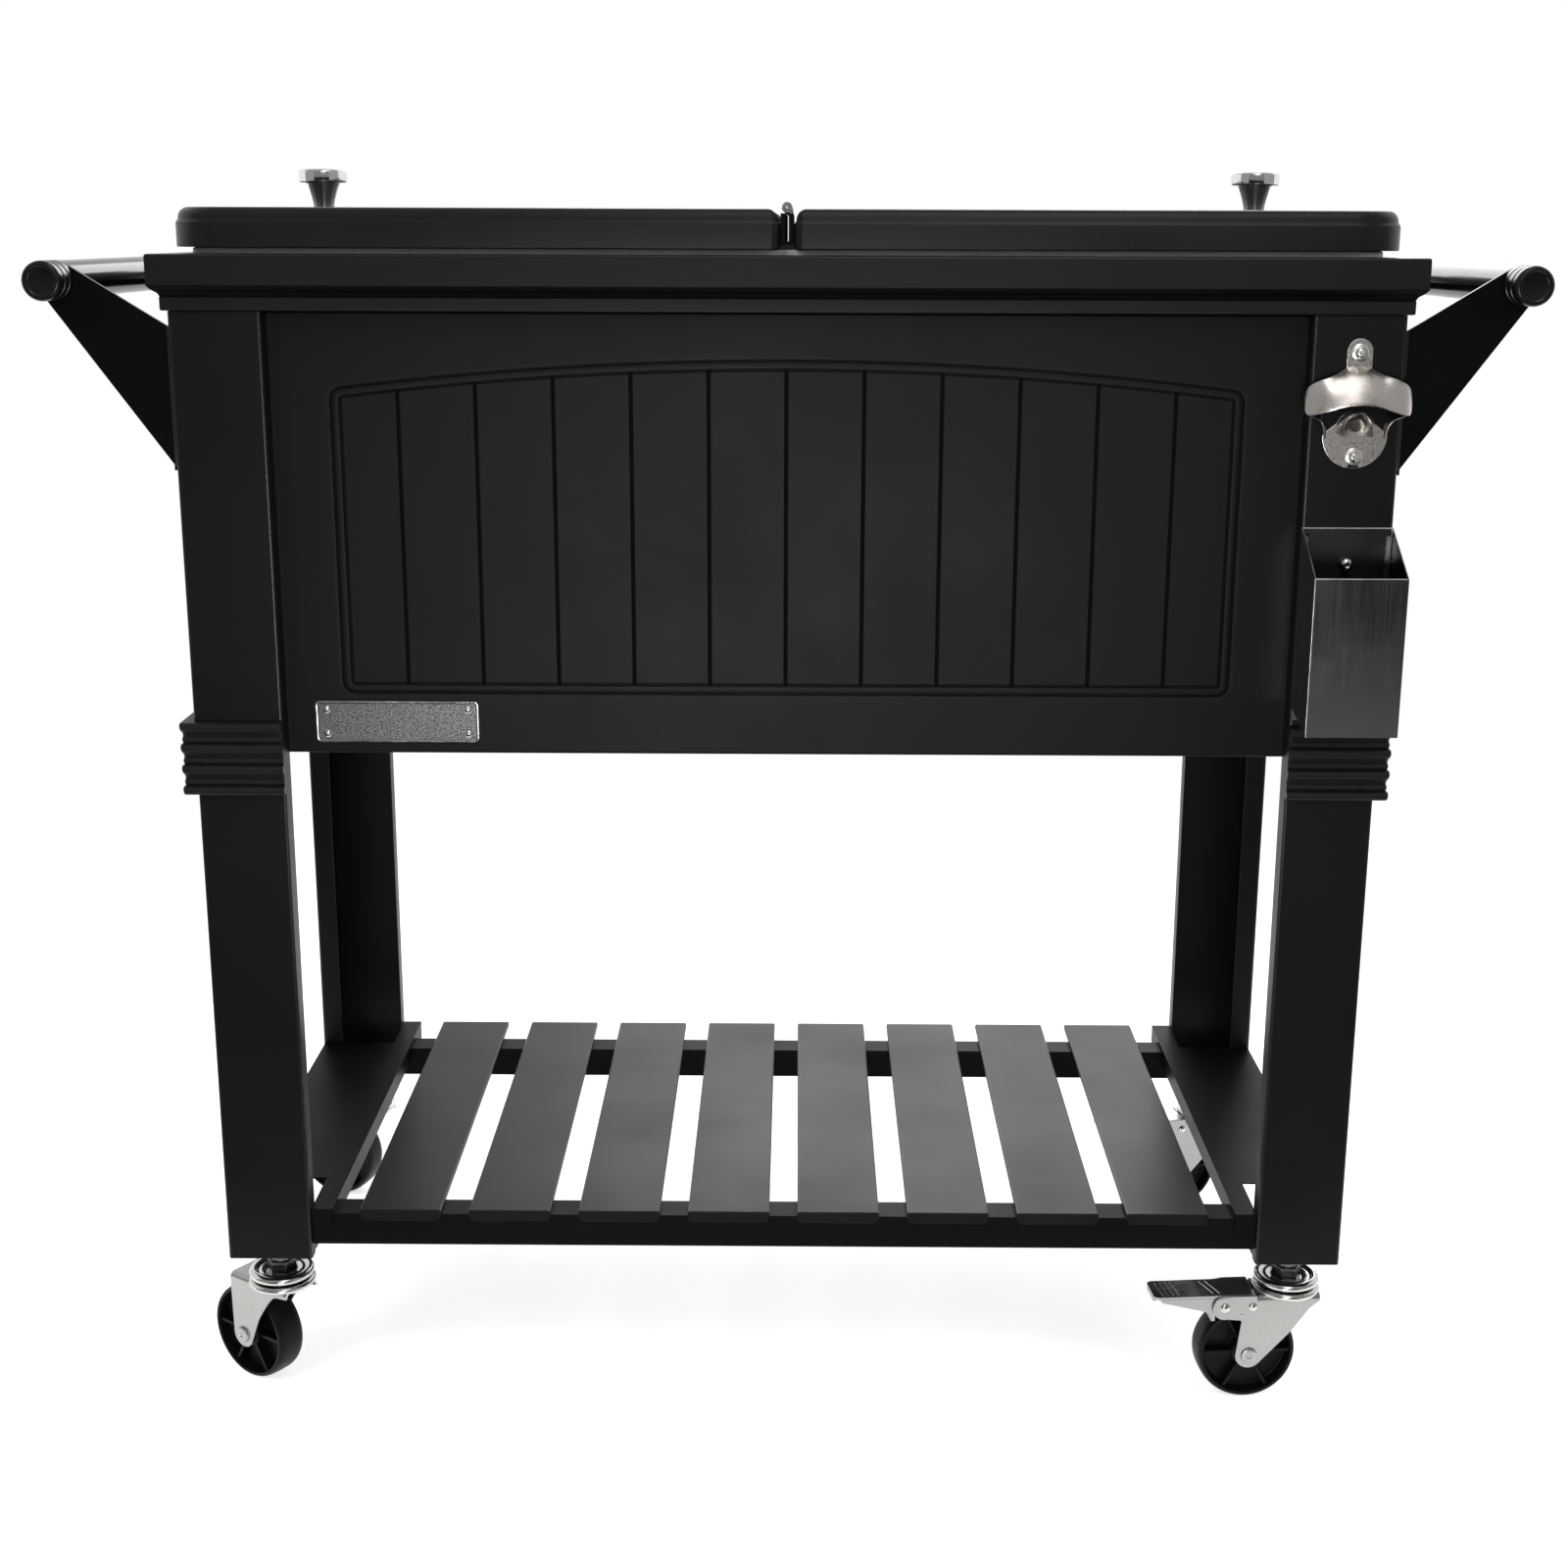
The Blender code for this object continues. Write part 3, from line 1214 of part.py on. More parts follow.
def make_shelf_frame():
    """Welded shelf frame: two square rails between the legs and a folded, lipped plate at each end."""
    end_x = HALF_X - LEG_FACE - FIT
    rear_y = REAR_RAIL_Y + SHELF_RAIL / 2
    body = box((-end_x, RAIL_FRONT_Y, RAIL_Z), (end_x, RAIL_FRONT_Y + SHELF_RAIL, RAIL_TOP_Z))
    parts = [box((-end_x, rear_y - SHELF_RAIL, RAIL_Z), (end_x, rear_y, RAIL_TOP_Z))]
    inner_x = HALF_X - END_PLATE_WIDTH
    outer_x = HALF_X - LEG_WALL - FIT
    wall = SHELF_WALL
    gap_y = HALF_Y - LEG_SIDE - FIT
    front = SLAT_FRONT_Y
    back = front + SLAT_LENGTH
    low = SLAT_TOP_Z - END_PLATE_FLANGE
    for side in SIDES.values():
        deck = plate(
            [
                (side * inner_x, front),
                (side * end_x, front),
                (side * end_x, -gap_y),
                (side * outer_x, -gap_y),
                (side * outer_x, gap_y),
                (side * end_x, gap_y),
                (side * end_x, back),
                (side * inner_x, back),
            ],
            SLAT_TOP_Z - wall,
            SLAT_TOP_Z,
        )
        high = SLAT_TOP_Z - OVERLAP
        flange = box((inner_x + OVERLAP, front + OVERLAP, low), (inner_x + wall, back - OVERLAP, high))
        rim = box((outer_x - wall, -gap_y + OVERLAP, low), (outer_x - OVERLAP, gap_y - OVERLAP, high))
        lip = plate(
            rounded(
                [
                    (inner_x + OVERLAP / 2, SLAT_TOP_Z - SLAT_LIP, SLAT_LIP_CORNER),
                    (end_x - OVERLAP, SLAT_TOP_Z - SLAT_LIP, 0),
                    (end_x - OVERLAP, SLAT_TOP_Z - OVERLAP, 0),
                    (inner_x + OVERLAP / 2, SLAT_TOP_Z - OVERLAP, 0),
                ],
                3,
            ),
            front - OVERLAP,
            front + wall,
            "XZ",
        )
        mirror = Matrix.Diagonal((side, 1, 1, 1))
        parts += [deck, moved(flange, mirror), moved(rim, mirror), moved(lip, mirror)]
    return finish(union(body, *parts), "shelf_frame", "powder_coat")


def make_slat(number):
    """Channel slat on the rails with a round-cornered lip folded down over the front rail."""
    middle = (number - (SLATS - 1) / 2) * SLAT_PITCH
    half = SLAT_WIDTH / 2
    low = RAIL_TOP_Z + FIT
    front = SLAT_FRONT_Y
    wall = SHELF_WALL
    section = rounded(
        [
            (-half, low, 0),
            (-half, SLAT_TOP_Z, 0.0010),
            (half, SLAT_TOP_Z, 0.0010),
            (half, low, 0),
            (half - wall, low, 0),
            (half - wall, SLAT_TOP_Z - wall, 0),
            (-half + wall, SLAT_TOP_Z - wall, 0),
            (-half + wall, low, 0),
        ],
        1,
    )
    body = plate(section, front, front + SLAT_LENGTH, "XZ")
    side, crest = half - OVERLAP / 2, SLAT_TOP_Z - OVERLAP / 2
    lip = rounded(
        [
            (-side, SLAT_TOP_Z - SLAT_LIP, SLAT_LIP_CORNER),
            (side, SLAT_TOP_Z - SLAT_LIP, SLAT_LIP_CORNER),
            (side, crest, 0.0012),
            (-side, crest, 0.0012),
        ],
        2,
    )
    body = union(body, plate(lip, front - OVERLAP / 2, front + wall, "XZ"))
    moved(body, Matrix.Translation((middle, 0, 0)))
    return finish(body, f"shelf_slat_{number + 1}", "powder_coat")


def caster_place(end_name, side_name):
    side, end = SIDES[side_name], ENDS[end_name]
    return from_corner(side, end, CASTER_INSET, CASTER_INSET)


def make_caster_mount(end_name, side_name):
    """Stem through the foot plate, hex nut under it and the upper race dish."""
    nut_radius = NUT_ACROSS_FLATS / math.sqrt(3)
    nut_low = FOOT_Z - FIT - NUT_HEIGHT
    race = FORK_TOP_Z + FIT
    dish = [
        (0, nut_low + OVERLAP),
        (nut_radius + FIT, nut_low + OVERLAP),
        (RACE_RADIUS * 0.70, race + RACE_CREST * 0.66),
        (RACE_RADIUS * 0.84, race + RACE_CREST),
        (RACE_RADIUS * 0.95, race + RACE_CREST * 0.91),
        (RACE_RADIUS, race + RACE_CREST * 0.62),
        (RACE_RADIUS * 0.86, race + RACE_LIFT),
        (STEM_RADIUS * 1.4, race + RACE_LIFT),
        (STEM_RADIUS * 1.4, race),
        (0, race),
    ]
    body = turned(dish, 16)
    nut = cylinder(nut_radius, race + RACE_CREST / 2, FOOT_Z - FIT, sides=6)
    stem_top = FOOT_Z + FOOT_PLATE + STEM_ABOVE_PLATE
    stem = cylinder(STEM_RADIUS, race + RACE_CREST / 2 + FIT, stem_top, sides=10)
    body = union(body, nut, stem)
    mount = finish(body, f"{end_name}_{side_name}_caster_mount", "zinc")
    mount.location = (*caster_place(end_name, side_name), 0)
    return mount


def fork_outline(braked):
    """Side plate of the fork (along the trail, up), from the race down to the axle."""
    top = FORK_TOP_Z - FORK_BRIDGE_DROP
    axle = (CASTER_TRAIL, WHEEL_RADIUS)
    foot = FORK_EYE_RADIUS
    if braked:
        back = [(-0.0200, top), (-0.0190, top - 0.004), (-0.0035, WHEEL_RADIUS + 0.020)]
        front = [(0.0355, WHEEL_RADIUS + 0.029)]
        lobe = arc(pedal_pivot(), PEDAL_LOBE_RADIUS, -100, 60, 6)
        return back + arc(axle, foot, 225, 370, 8) + front + lobe + [(0.046, top), (0.020, top)]
    back = [(-0.0180, top), (-0.0150, top - 0.005), (-0.004, top - 0.011)]
    back += [(0.008, top - 0.023), (0.0165, top - 0.037)]
    return back + arc(axle, foot, 200, 365, 8) + [(0.0415, top - 0.006), (0.0375, top)]


def pedal_pivot():
    return (CASTER_TRAIL + PEDAL_PIVOT_OUT, WHEEL_RADIUS + PEDAL_PIVOT_UP)


def make_fork(end_name, side_name):
    """Pressed fork: lower race dish, bridge, side plates and riveted axle; origin on the swivel axis."""
    name = f"{end_name}_{side_name}"
    braked = name in BRAKED
    half = WHEEL_WIDTH / 2 + FORK_CLEARANCE
    outer = half + FORK_WALL
    top = FORK_TOP_Z
    dish = [
        (0, top),
        (RACE_RADIUS * 0.84, top),
        (RACE_RADIUS * 0.99, top - 0.0006),
        (RACE_RADIUS * 1.03, top - 0.0030),
        (RACE_RADIUS * 0.96, top - 0.0058),
        (outer - 2 * OVERLAP, top - FORK_DISH_DEPTH),
        (0, top - FORK_DISH_DEPTH),
    ]
    body = turned(dish, 16)
    outline = fork_outline(braked)
    bridge_end = BRAKE_BRIDGE_END if braked else PLAIN_BRIDGE_END
    bridge_top = top - FORK_BRIDGE_DROP
    bridge = box((-0.012, -outer, bridge_top - FORK_WALL), (bridge_end, outer, bridge_top - OVERLAP))
    plates = [plate(outline, low, low + FORK_WALL, "XZ") for low in (half, -outer)]
    head = AXLE_HEAD_RADIUS
    edge = outer + AXLE_HEAD
    axle_profile = [(0, edge), (head * 0.75, edge - 0.0003), (head, edge - 0.0012), (head, outer - OVERLAP)]
    axle_profile += [(AXLE_RADIUS, outer - OVERLAP)]
    axle_profile += [(radius, -height) for radius, height in reversed(axle_profile)]
    axle = moved(turned(axle_profile, 12, "Y"), Matrix.Translation((CASTER_TRAIL, 0, WHEEL_RADIUS)))
    body = union(body, bridge, *plates)
    body = union(body, axle)
    if braked:
        u, z = pedal_pivot()
        hole = cylinder(PEDAL_PIN_RADIUS + FIT, -outer - PAST, outer + PAST, (u, z), "Y", 12)
        body = cut(body, hole)
    fork = finish(body, f"{name}_caster_fork", "zinc")
    fork.location = (*caster_place(end_name, side_name), 0)
    fork.rotation_euler = (0, 0, math.radians(CASTER_HEADINGS[name]))
    return fork


def make_wheel(end_name, side_name, fork):
    """Spoked plastic wheel, its origin on the axle."""
    half = WHEEL_WIDTH / 2
    tread = WHEEL_RADIUS
    rim = tread - WHEEL_RIM
    web = WHEEL_WEB / 2
    bore = AXLE_RADIUS + FIT
    flank = [
        (bore, half),
        (HUB_RADIUS, half),
        (HUB_RADIUS + 0.0008, web),
        (rim - 0.0006, web),
        (rim + 0.0006, half - 0.0008),
        (tread - 0.0022, half - 0.0012),
        (tread, half - 0.0060),
    ]
    profile = flank + [(radius, -height) for radius, height in reversed(flank)]
    profile.append(profile[0])
    body = turned(profile, 20, "Y")
    spokes = []
    for k in range(WHEEL_SPOKES):
        spoke = box(
            (HUB_RADIUS - 0.002, -half + 0.003, -SPOKE_WALL / 2), (rim + 0.0012, half - 0.003, SPOKE_WALL / 2)
        )
        spokes.append(moved(spoke, Matrix.Rotation(math.tau * k / WHEEL_SPOKES, 4, "Y")))
    wheel = finish(union(body, *spokes), f"{end_name}_{side_name}_wheel", "wheel_plastic")
    wheel.parent = fork
    wheel.location = (CASTER_TRAIL, 0, WHEEL_RADIUS)
    return wheel


def make_pedal(end_name, side_name, fork):
    """Brake pedal: folded channel with a turned nose, brake shoe and pivot pin; origin on its pivot."""
    half = WHEEL_WIDTH / 2 + FORK_CLEARANCE - FIT
    pivot_u, pivot_z = pedal_pivot()
    top = FORK_TOP_Z - FORK_BRIDGE_DROP - pivot_z
    start = BRAKE_BRIDGE_END + PEDAL_BEHIND_BRIDGE + FIT - pivot_u
    tip = start + PEDAL_LENGTH
    wall = PEDAL_WALL
    deck = plate(
        rounded(
            [
                (start, -half, PEDAL_CORNER / 4),
                (tip, -half, PEDAL_CORNER),
                (tip, half, PEDAL_CORNER),
                (start, half, PEDAL_CORNER / 4),
            ],
            3,
        ),
        top - wall,
        top,
    )
    cheek_outline = [
        (start + PEDAL_CHEEK_DEPTH * 0.75, top - OVERLAP),
        (start + PEDAL_CHEEK_DEPTH, top - PEDAL_CHEEK_DEPTH),
        (-2 * PEDAL_PIN_RADIUS, -3 * PEDAL_PIN_RADIUS),
        (5 * PEDAL_PIN_RADIUS, -2.7 * PEDAL_PIN_RADIUS),
        (PEDAL_CHEEK_REACH, top - PEDAL_CHEEK_DEPTH * 1.5),
        (tip - PEDAL_CORNER * 1.5, top - PEDAL_NOSE_DEPTH),
        (tip - PEDAL_CORNER, top - OVERLAP),
    ]
    lows = (half - wall - OVERLAP, -half + OVERLAP)
    cheeks = [plate(cheek_outline, low, low + wall, "XZ") for low in lows]
    side = half - PEDAL_CORNER
    nose = box((tip - wall - OVERLAP, -side, top - PEDAL_NOSE_DEPTH), (tip - OVERLAP, side, top - OVERLAP))
    reach = PEDAL_SHOE_OUT
    wheel_top = math.sqrt(WHEEL_RADIUS**2 - (pivot_u + reach - CASTER_TRAIL) ** 2) + WHEEL_RADIUS
    shoe_low = wheel_top + PEDAL_SHOE_CLEARANCE - pivot_z
    shoe = box((reach - wall / 2, -half + wall / 2, shoe_low), (reach + wall, half - wall / 2, top - OVERLAP))
    pin = cylinder(PEDAL_PIN_RADIUS, -half - FORK_WALL - FIT, half + FORK_WALL + FIT, axis="Y", sides=12)
    body = union(deck, *cheeks)
    body = union(body, nose, shoe, pin)
    pedal = finish(body, f"{end_name}_{side_name}_brake_pedal", "zinc")
    pedal.parent = fork
    pedal.location = (pivot_u, 0, pivot_z)
    return pedal


def make_cabinet():
    for end_name in ENDS:
        for side_name in SIDES:
            make_leg(end_name, side_name)
            make_collar(end_name, side_name)
            make_bracket(end_name, side_name)
    make_cross_panel("front_panel", -1)
    make_cross_panel("back_panel", 1)
    for side_name in SIDES:
        make_side_panel(side_name)
        make_handle(side_name)
    make_base_pan()
    make_insulation()
    make_crown()
    make_tub()
    make_drain_cap()


def make_lids():
    make_crossbar()
    make_hinge_pin()
    for side_name in SIDES:
        make_lid_shell(side_name)
        make_lid_liner(side_name)
        make_hinge_leaf(side_name)
        make_knob(side_name)


def make_front_fittings():
    make_opener()
    make_catcher()
    make_catcher_screw()
    make_plate()


def make_shelf():
    make_shelf_frame()
    for number in range(SLATS):
        make_slat(number)


def make_casters():
    for end_name in ENDS:
        for side_name in SIDES:
            make_caster_mount(end_name, side_name)
            fork = make_fork(end_name, side_name)
            make_wheel(end_name, side_name, fork)
            if f"{end_name}_{side_name}" in BRAKED:
                make_pedal(end_name, side_name, fork)


def place_on_origin():
    """Parents every loose piece to one empty, which centres the whole object on the origin."""
    anchor = bpy.data.objects.new("cooler_origin", None)
    PARTS.objects.link(anchor)
    for obj in list(PARTS.objects):
        if obj is not anchor and obj.parent is None:
            obj.parent = anchor
    anchor.location = (0, ORIGIN_SHIFT, 0)


def main():
    global PARTS
    clear_scene()
    PARTS = new_collection("rolling_patio_cooler")
    make_cabinet()
    make_lids()
    make_front_fittings()
    make_shelf()
    make_casters()
    place_on_origin()


main()
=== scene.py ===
"""Looks of the rolling patio cooler: its finishes, its finer pieces, the studio and the camera."""

import math

import bmesh
import bpy
from mathutils import Matrix, Vector


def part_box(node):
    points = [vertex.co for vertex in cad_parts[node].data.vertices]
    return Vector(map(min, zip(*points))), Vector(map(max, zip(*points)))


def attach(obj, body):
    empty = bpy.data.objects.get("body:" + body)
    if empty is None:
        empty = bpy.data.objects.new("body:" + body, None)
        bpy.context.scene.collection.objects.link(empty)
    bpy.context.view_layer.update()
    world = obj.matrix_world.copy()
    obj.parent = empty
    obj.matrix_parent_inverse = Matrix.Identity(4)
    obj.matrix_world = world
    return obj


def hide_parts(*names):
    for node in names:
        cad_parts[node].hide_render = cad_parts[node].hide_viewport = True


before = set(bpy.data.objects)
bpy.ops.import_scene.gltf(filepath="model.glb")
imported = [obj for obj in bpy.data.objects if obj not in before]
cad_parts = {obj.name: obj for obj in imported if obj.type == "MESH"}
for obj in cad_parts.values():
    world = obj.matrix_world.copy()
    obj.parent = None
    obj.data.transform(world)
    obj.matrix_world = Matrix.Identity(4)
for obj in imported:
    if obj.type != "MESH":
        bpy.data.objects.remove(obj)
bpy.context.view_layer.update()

# Places that the frame gives, in metres
SHIFT = 0.013
HALF_X = 0.410
HALF_Y = 0.198
CABINET_Z = 0.500
CROWN_Z = 0.804
DECK_Z = 0.8405
LIP_Z = 0.8445
LID_Z = 0.8448
LID_TOP_Z = 0.8705
FRONT_SHEET_Y = -0.1822 + SHIFT
LEG_FRONT_Y = -HALF_Y + SHIFT
SIDES = {"left": -1, "right": 1}
ENDS = {"front": -1, "rear": 1}

# Casters
CASTER_X = 0.379
CASTER_Y = 0.167
TRAIL = 0.030
WHEEL_RADIUS = 0.0375
WHEEL_HALF = 0.0125
FORK_TOP_Z = 0.090
FORK_HALF = 0.0139
FORK_WALL = 0.002
FOOT_Z = 0.1185
HEADINGS = {"front_left": 145.0, "front_right": 185.0, "rear_left": 160.0, "rear_right": 195.0}
BRAKED = ("front_right", "rear_right")
PEDAL_PIVOT = (0.050, 0.0768)


class Socket:
    """A shader socket whose arithmetic adds Math nodes to its finish."""

    def __init__(self, finish, link):
        self.finish = finish
        self.link = link

    def maths(self, operation, *values):
        return self.finish.node("ShaderNodeMath", {"operation": operation}, dict(enumerate(values)))

    def __add__(self, other):
        return self.maths("ADD", self, other)

    def __radd__(self, other):
        return self.maths("ADD", other, self)

    def __sub__(self, other):
        return self.maths("SUBTRACT", self, other)

    def __rsub__(self, other):
        return self.maths("SUBTRACT", other, self)

    def __mul__(self, other):
        return self.maths("MULTIPLY", self, other)

    def __rmul__(self, other):
        return self.maths("MULTIPLY", other, self)

    def __truediv__(self, other):
        return self.maths("DIVIDE", self, other)

    def __pow__(self, other):
        return self.maths("POWER", self, other)

    def clamped(self, low, high):
        return self.maths("MAXIMUM", self.maths("MINIMUM", self, high), low)


class Finish:
    """One surface finish: a Principled shader and the nodes that vary it."""

    def __init__(self, name, slot, **constants):
        self.slot = slot
        self.material = bpy.data.materials.new(name)
        self.material.use_nodes = True
        self.tree = self.material.node_tree
        self.shader = self.tree.nodes["Principled BSDF"]
        for key, value in constants.items():
            self.shader.inputs[key.replace("_", " ")].default_value = value

    def node(self, kind, settings=None, values=None, output=0):
        """Adds a node, sets its settings, then fills its sockets with values or links."""
        made = self.tree.nodes.new(kind)
        for key, value in (settings or {}).items():
            if key == "stops":
                set_stops(made.color_ramp, value)
            else:
                setattr(made, key, value)
        for key, value in (values or {}).items():
            if isinstance(value, Socket):
                self.tree.links.new(value.link, made.inputs[key])
            else:
                made.inputs[key].default_value = value
        return Socket(self, made.outputs[output])

    def place(self, scale=(1.0, 1.0, 1.0)):
        """Object coordinates, stretched along the axes."""
        at = self.node("ShaderNodeTexCoord", output=3)
        return self.node("ShaderNodeMapping", values={"Vector": at, "Scale": scale})

    def noise(self, scale, detail=3.0, stretch=(1.0, 1.0, 1.0), rough=0.5):
        values = {"Vector": self.place(stretch), "Scale": scale, "Detail": detail, "Roughness": rough}
        return self.node("ShaderNodeTexNoise", {"noise_dimensions": "3D"}, values)

    def spread(self, share, low, high, start=0.3, stop=0.7):
        """Turns a noise into a number that runs from low to high."""
        values = {0: share, 1: start, 2: stop, 3: low, 4: high}
        return self.node("ShaderNodeMapRange", {"clamp": True}, values)

    def colours(self, share, first, second):
        values = {0: share, 6: (*first, 1.0), 7: (*second, 1.0)}
        return self.node("ShaderNodeMix", {"data_type": "RGBA"}, values, output=2)

    def bump(self, height, strength, distance, under=None):
        values = {"Height": height, "Strength": strength, "Distance": distance}
        if under is not None:
            values["Normal"] = under
        return self.node("ShaderNodeBump", values=values)

    def feed(self, **sockets):
        for key, value in sockets.items():
            self.tree.links.new(value.link, self.shader.inputs[key.replace("_", " ")])
        return self


def set_stops(ramp, stops):
    while len(ramp.elements) > 1:
        ramp.elements.remove(ramp.elements[-1])
    for i, (place, colour) in enumerate(stops):
        element = ramp.elements[0] if i == 0 else ramp.elements.new(place)
        element.position = place
        element.color = (*colour, 1.0)


def powder_coat(name="powder_coat", level=0.0045, rough=(0.38, 0.46), gloss=0.15):
    """Satin black powder coat with a fine pebbled skin."""
    coat = Finish(name, "powder_coat", Metallic=0.0, Specular_IOR_Level=gloss)
    cloud = coat.noise(9.0, 3.0)
    pebble = coat.noise(1500.0, 2.0)
    flow = coat.noise(260.0, 2.0)
    dark = (level * 0.85, level * 0.85, level * 0.88)
    light = (level * 1.25, level * 1.25, level * 1.30)
    skin = coat.bump(pebble, 0.22, 0.00012, coat.bump(flow, 0.10, 0.0003))
    roughness = coat.spread(cloud, rough[0], rough[1]) + coat.spread(pebble, -0.03, 0.03)
    return coat.feed(Base_Color=coat.colours(cloud, dark, light), Roughness=roughness, Normal=skin)


def moulded_black(name, slot, level, rough, grain=0.16, gloss=0.18):
    """Moulded plastic with a slight grain and handling marks."""
    plastic = Finish(name, slot, Metallic=0.0, Specular_IOR_Level=gloss)
    marks = plastic.noise(38.0, 5.0, rough=0.6)
    fine = plastic.noise(1100.0, 2.0)
    dark = (level * 0.8,) * 3
    light = (level * 1.35, level * 1.32, level * 1.30)
    roughness = plastic.spread(marks, rough - 0.06, rough + 0.07)
    skin = plastic.bump(fine, grain, 0.0001)
    return plastic.feed(Base_Color=plastic.colours(marks, dark, light), Roughness=roughness, Normal=skin)


def gloss_paint():
    """Gloss black paint on the handle tubes."""
    paint = Finish("gloss_paint", "gloss_black", Metallic=0.0, Specular_IOR_Level=0.12)
    cloud = paint.noise(16.0, 3.0)
    peel = paint.noise(420.0, 1.0)
    roughness = paint.spread(cloud, 0.10, 0.17)
    colour = paint.colours(cloud, (0.0045, 0.0045, 0.005), (0.0075, 0.0075, 0.008))
    return paint.feed(Base_Color=colour, Roughness=roughness, Normal=paint.bump(peel, 0.05, 0.0002))


def bright_metal(name, slot, colour, rough, cloud_scale, stretch, grain, stain=0.82):
    """Bare or plated metal: clouded tone, directional grain and faint handling marks."""
    metal = Finish(name, slot, Metallic=1.0)
    cloud = metal.noise(cloud_scale, 4.0, rough=0.6)
    brush = metal.noise(1.0, 3.0, stretch)
    dark = tuple(stain * part for part in colour)
    share = metal.spread(cloud, 0.0, 0.7) + metal.spread(brush, 0.0, 0.3)
    roughness = metal.spread(cloud, rough[0], rough[1]) + metal.spread(brush, -0.04, 0.04)
    skin = metal.bump(brush, grain, 0.00006)
    return metal.feed(Base_Color=metal.colours(share, dark, colour), Roughness=roughness, Normal=skin)


def cast_metal():
    """Pebbled cast face of the bare plate, darker in its low ground."""
    metal = Finish("cast_plate", "cast_plate", Metallic=1.0)
    pebble = metal.noise(900.0, 3.0, rough=0.65)
    ground = metal.spread(pebble, 0.0, 1.0, 0.35, 0.65)
    roughness = metal.spread(pebble, 0.42, 0.24)
    colour = metal.colours(ground, (0.03, 0.032, 0.03), (0.27, 0.275, 0.27))
    return metal.feed(Base_Color=colour, Roughness=roughness, Normal=metal.bump(pebble, 0.55, 0.0003))


COAT = powder_coat()
CROWN_COAT = powder_coat("crown_coat", 0.0064, (0.36, 0.44), 0.17)
# Painted highlight: a lighter, glossier copy of the coat, put on eased edges and on the crown's deck for their thin
# lines of light
PAINTED_HIGHLIGHT_COAT = powder_coat("painted_highlight_coat", 0.009, (0.26, 0.34), 0.36)
SHELF_COAT = powder_coat("shelf_coat", 0.0050, (0.34, 0.42))
# Painted shade: a darker copy of the coat for the shelf frame
FRAME_PAINTED_SHADE_COAT = powder_coat("frame_painted_shade_coat", 0.0026, (0.40, 0.48), 0.07)
# Painted shade: a darker copy of the coat, for the brackets and for the shade in the crown's cove, under the hinge
# knuckles, in the catcher's keyhole and in the opener's slot
PAINTED_SHADE_COAT = powder_coat("painted_shade_coat", 0.0020, (0.42, 0.50), 0.06)
LID_COAT = powder_coat("lid_coat", 0.0058, (0.28, 0.36), 0.24)
COLLAR = moulded_black("collar_plastic", "moulded_black", 0.009, 0.44)
PLUG = moulded_black("plug_plastic", "moulded_black", 0.0045, 0.24, 0.04, 0.30)
WHEEL = moulded_black("wheel_plastic", "wheel_plastic", 0.0032, 0.40, 0.10, 0.12)
TUB = moulded_black("tub_plastic", "tub_plastic", 0.50, 0.42)
LINER = moulded_black("liner_plastic", "liner_plastic", 0.16, 0.42)
FOAM = moulded_black("foam", "foam", 0.55, 0.85)
GLOSS = gloss_paint()
ZINC = bright_metal("zinc_plate", "zinc", (0.42, 0.415, 0.405), (0.24, 0.38), 60.0, (260, 260, 260), 0.10)
RACE = bright_metal("race_plate", "zinc", (0.66, 0.655, 0.64), (0.12, 0.20), 60.0, (260, 260, 260), 0.06)
DARK_ZINC = bright_metal("dark_zinc", "zinc", (0.20, 0.195, 0.185), (0.24, 0.36), 60.0, (260, 260, 260), 0.10)
LEAF = bright_metal("leaf_steel", "zinc", (0.060, 0.060, 0.058), (0.30, 0.42), 60.0, (260, 260, 260), 0.10)
# Painted shade: a darker copy of the zinc for the pedal's flat top
PEDAL_TOP_PAINTED_SHADE = bright_metal("pedal_top_painted_shade", "zinc", (0.36, 0.36, 0.355), (0.14, 0.22), 35.0, (180, 180, 180), 0.06)
PEDAL = bright_metal("pedal_plate", "zinc", (0.80, 0.80, 0.78), (0.14, 0.24), 45.0, (220, 220, 220), 0.05)
CHROME = bright_metal("chrome", "chrome", (0.80, 0.80, 0.81), (0.04, 0.09), 40.0, (90, 90, 600), 0.01, 0.94)
NICKEL = bright_metal("satin_nickel", "nickel", (0.76, 0.71, 0.66), (0.26, 0.32), 420.0, (900, 900, 900), 0.045, 0.92)
# Painted shade: a dark copy of the nickel for the opener's hollows
NICKEL_PAINTED_SHADE = bright_metal("nickel_painted_shade", "nickel", (0.19, 0.17, 0.155), (0.26, 0.34), 420.0, (900, 900, 900), 0.10)
BRUSHED = bright_metal("brushed_steel", "brushed_steel", (0.36, 0.36, 0.355), (0.15, 0.21), 20.0, (2600, 2600, 22), 0.10)
# Painted shade: a dark copy of the steel for the catcher's inside
STEEL_PAINTED_SHADE = bright_metal("steel_painted_shade", "brushed_steel", (0.045, 0.045, 0.044), (0.30, 0.40), 20.0, (2600, 2600, 22), 0.10)
# Painted highlight: a near-white copy of the steel for the catcher's narrow edges
STEEL_PAINTED_HIGHLIGHT = bright_metal("steel_painted_highlight", "brushed_steel", (0.86, 0.86, 0.85), (0.16, 0.24), 60.0, (300, 300, 300), 0.04)
SCREW = bright_metal("screw_plate", "zinc", (0.92, 0.90, 0.86), (0.24, 0.32), 200.0, (300, 300, 300), 0.04)
CAST = cast_metal()


def collected(work, angle=32, name="shape"):
    """Turns a bmesh into a smooth-shaded mesh with sharp edges over an angle."""
    mesh = bpy.data.meshes.new(name)
    work.to_mesh(mesh)
    work.free()
    return shaded(mesh, angle)


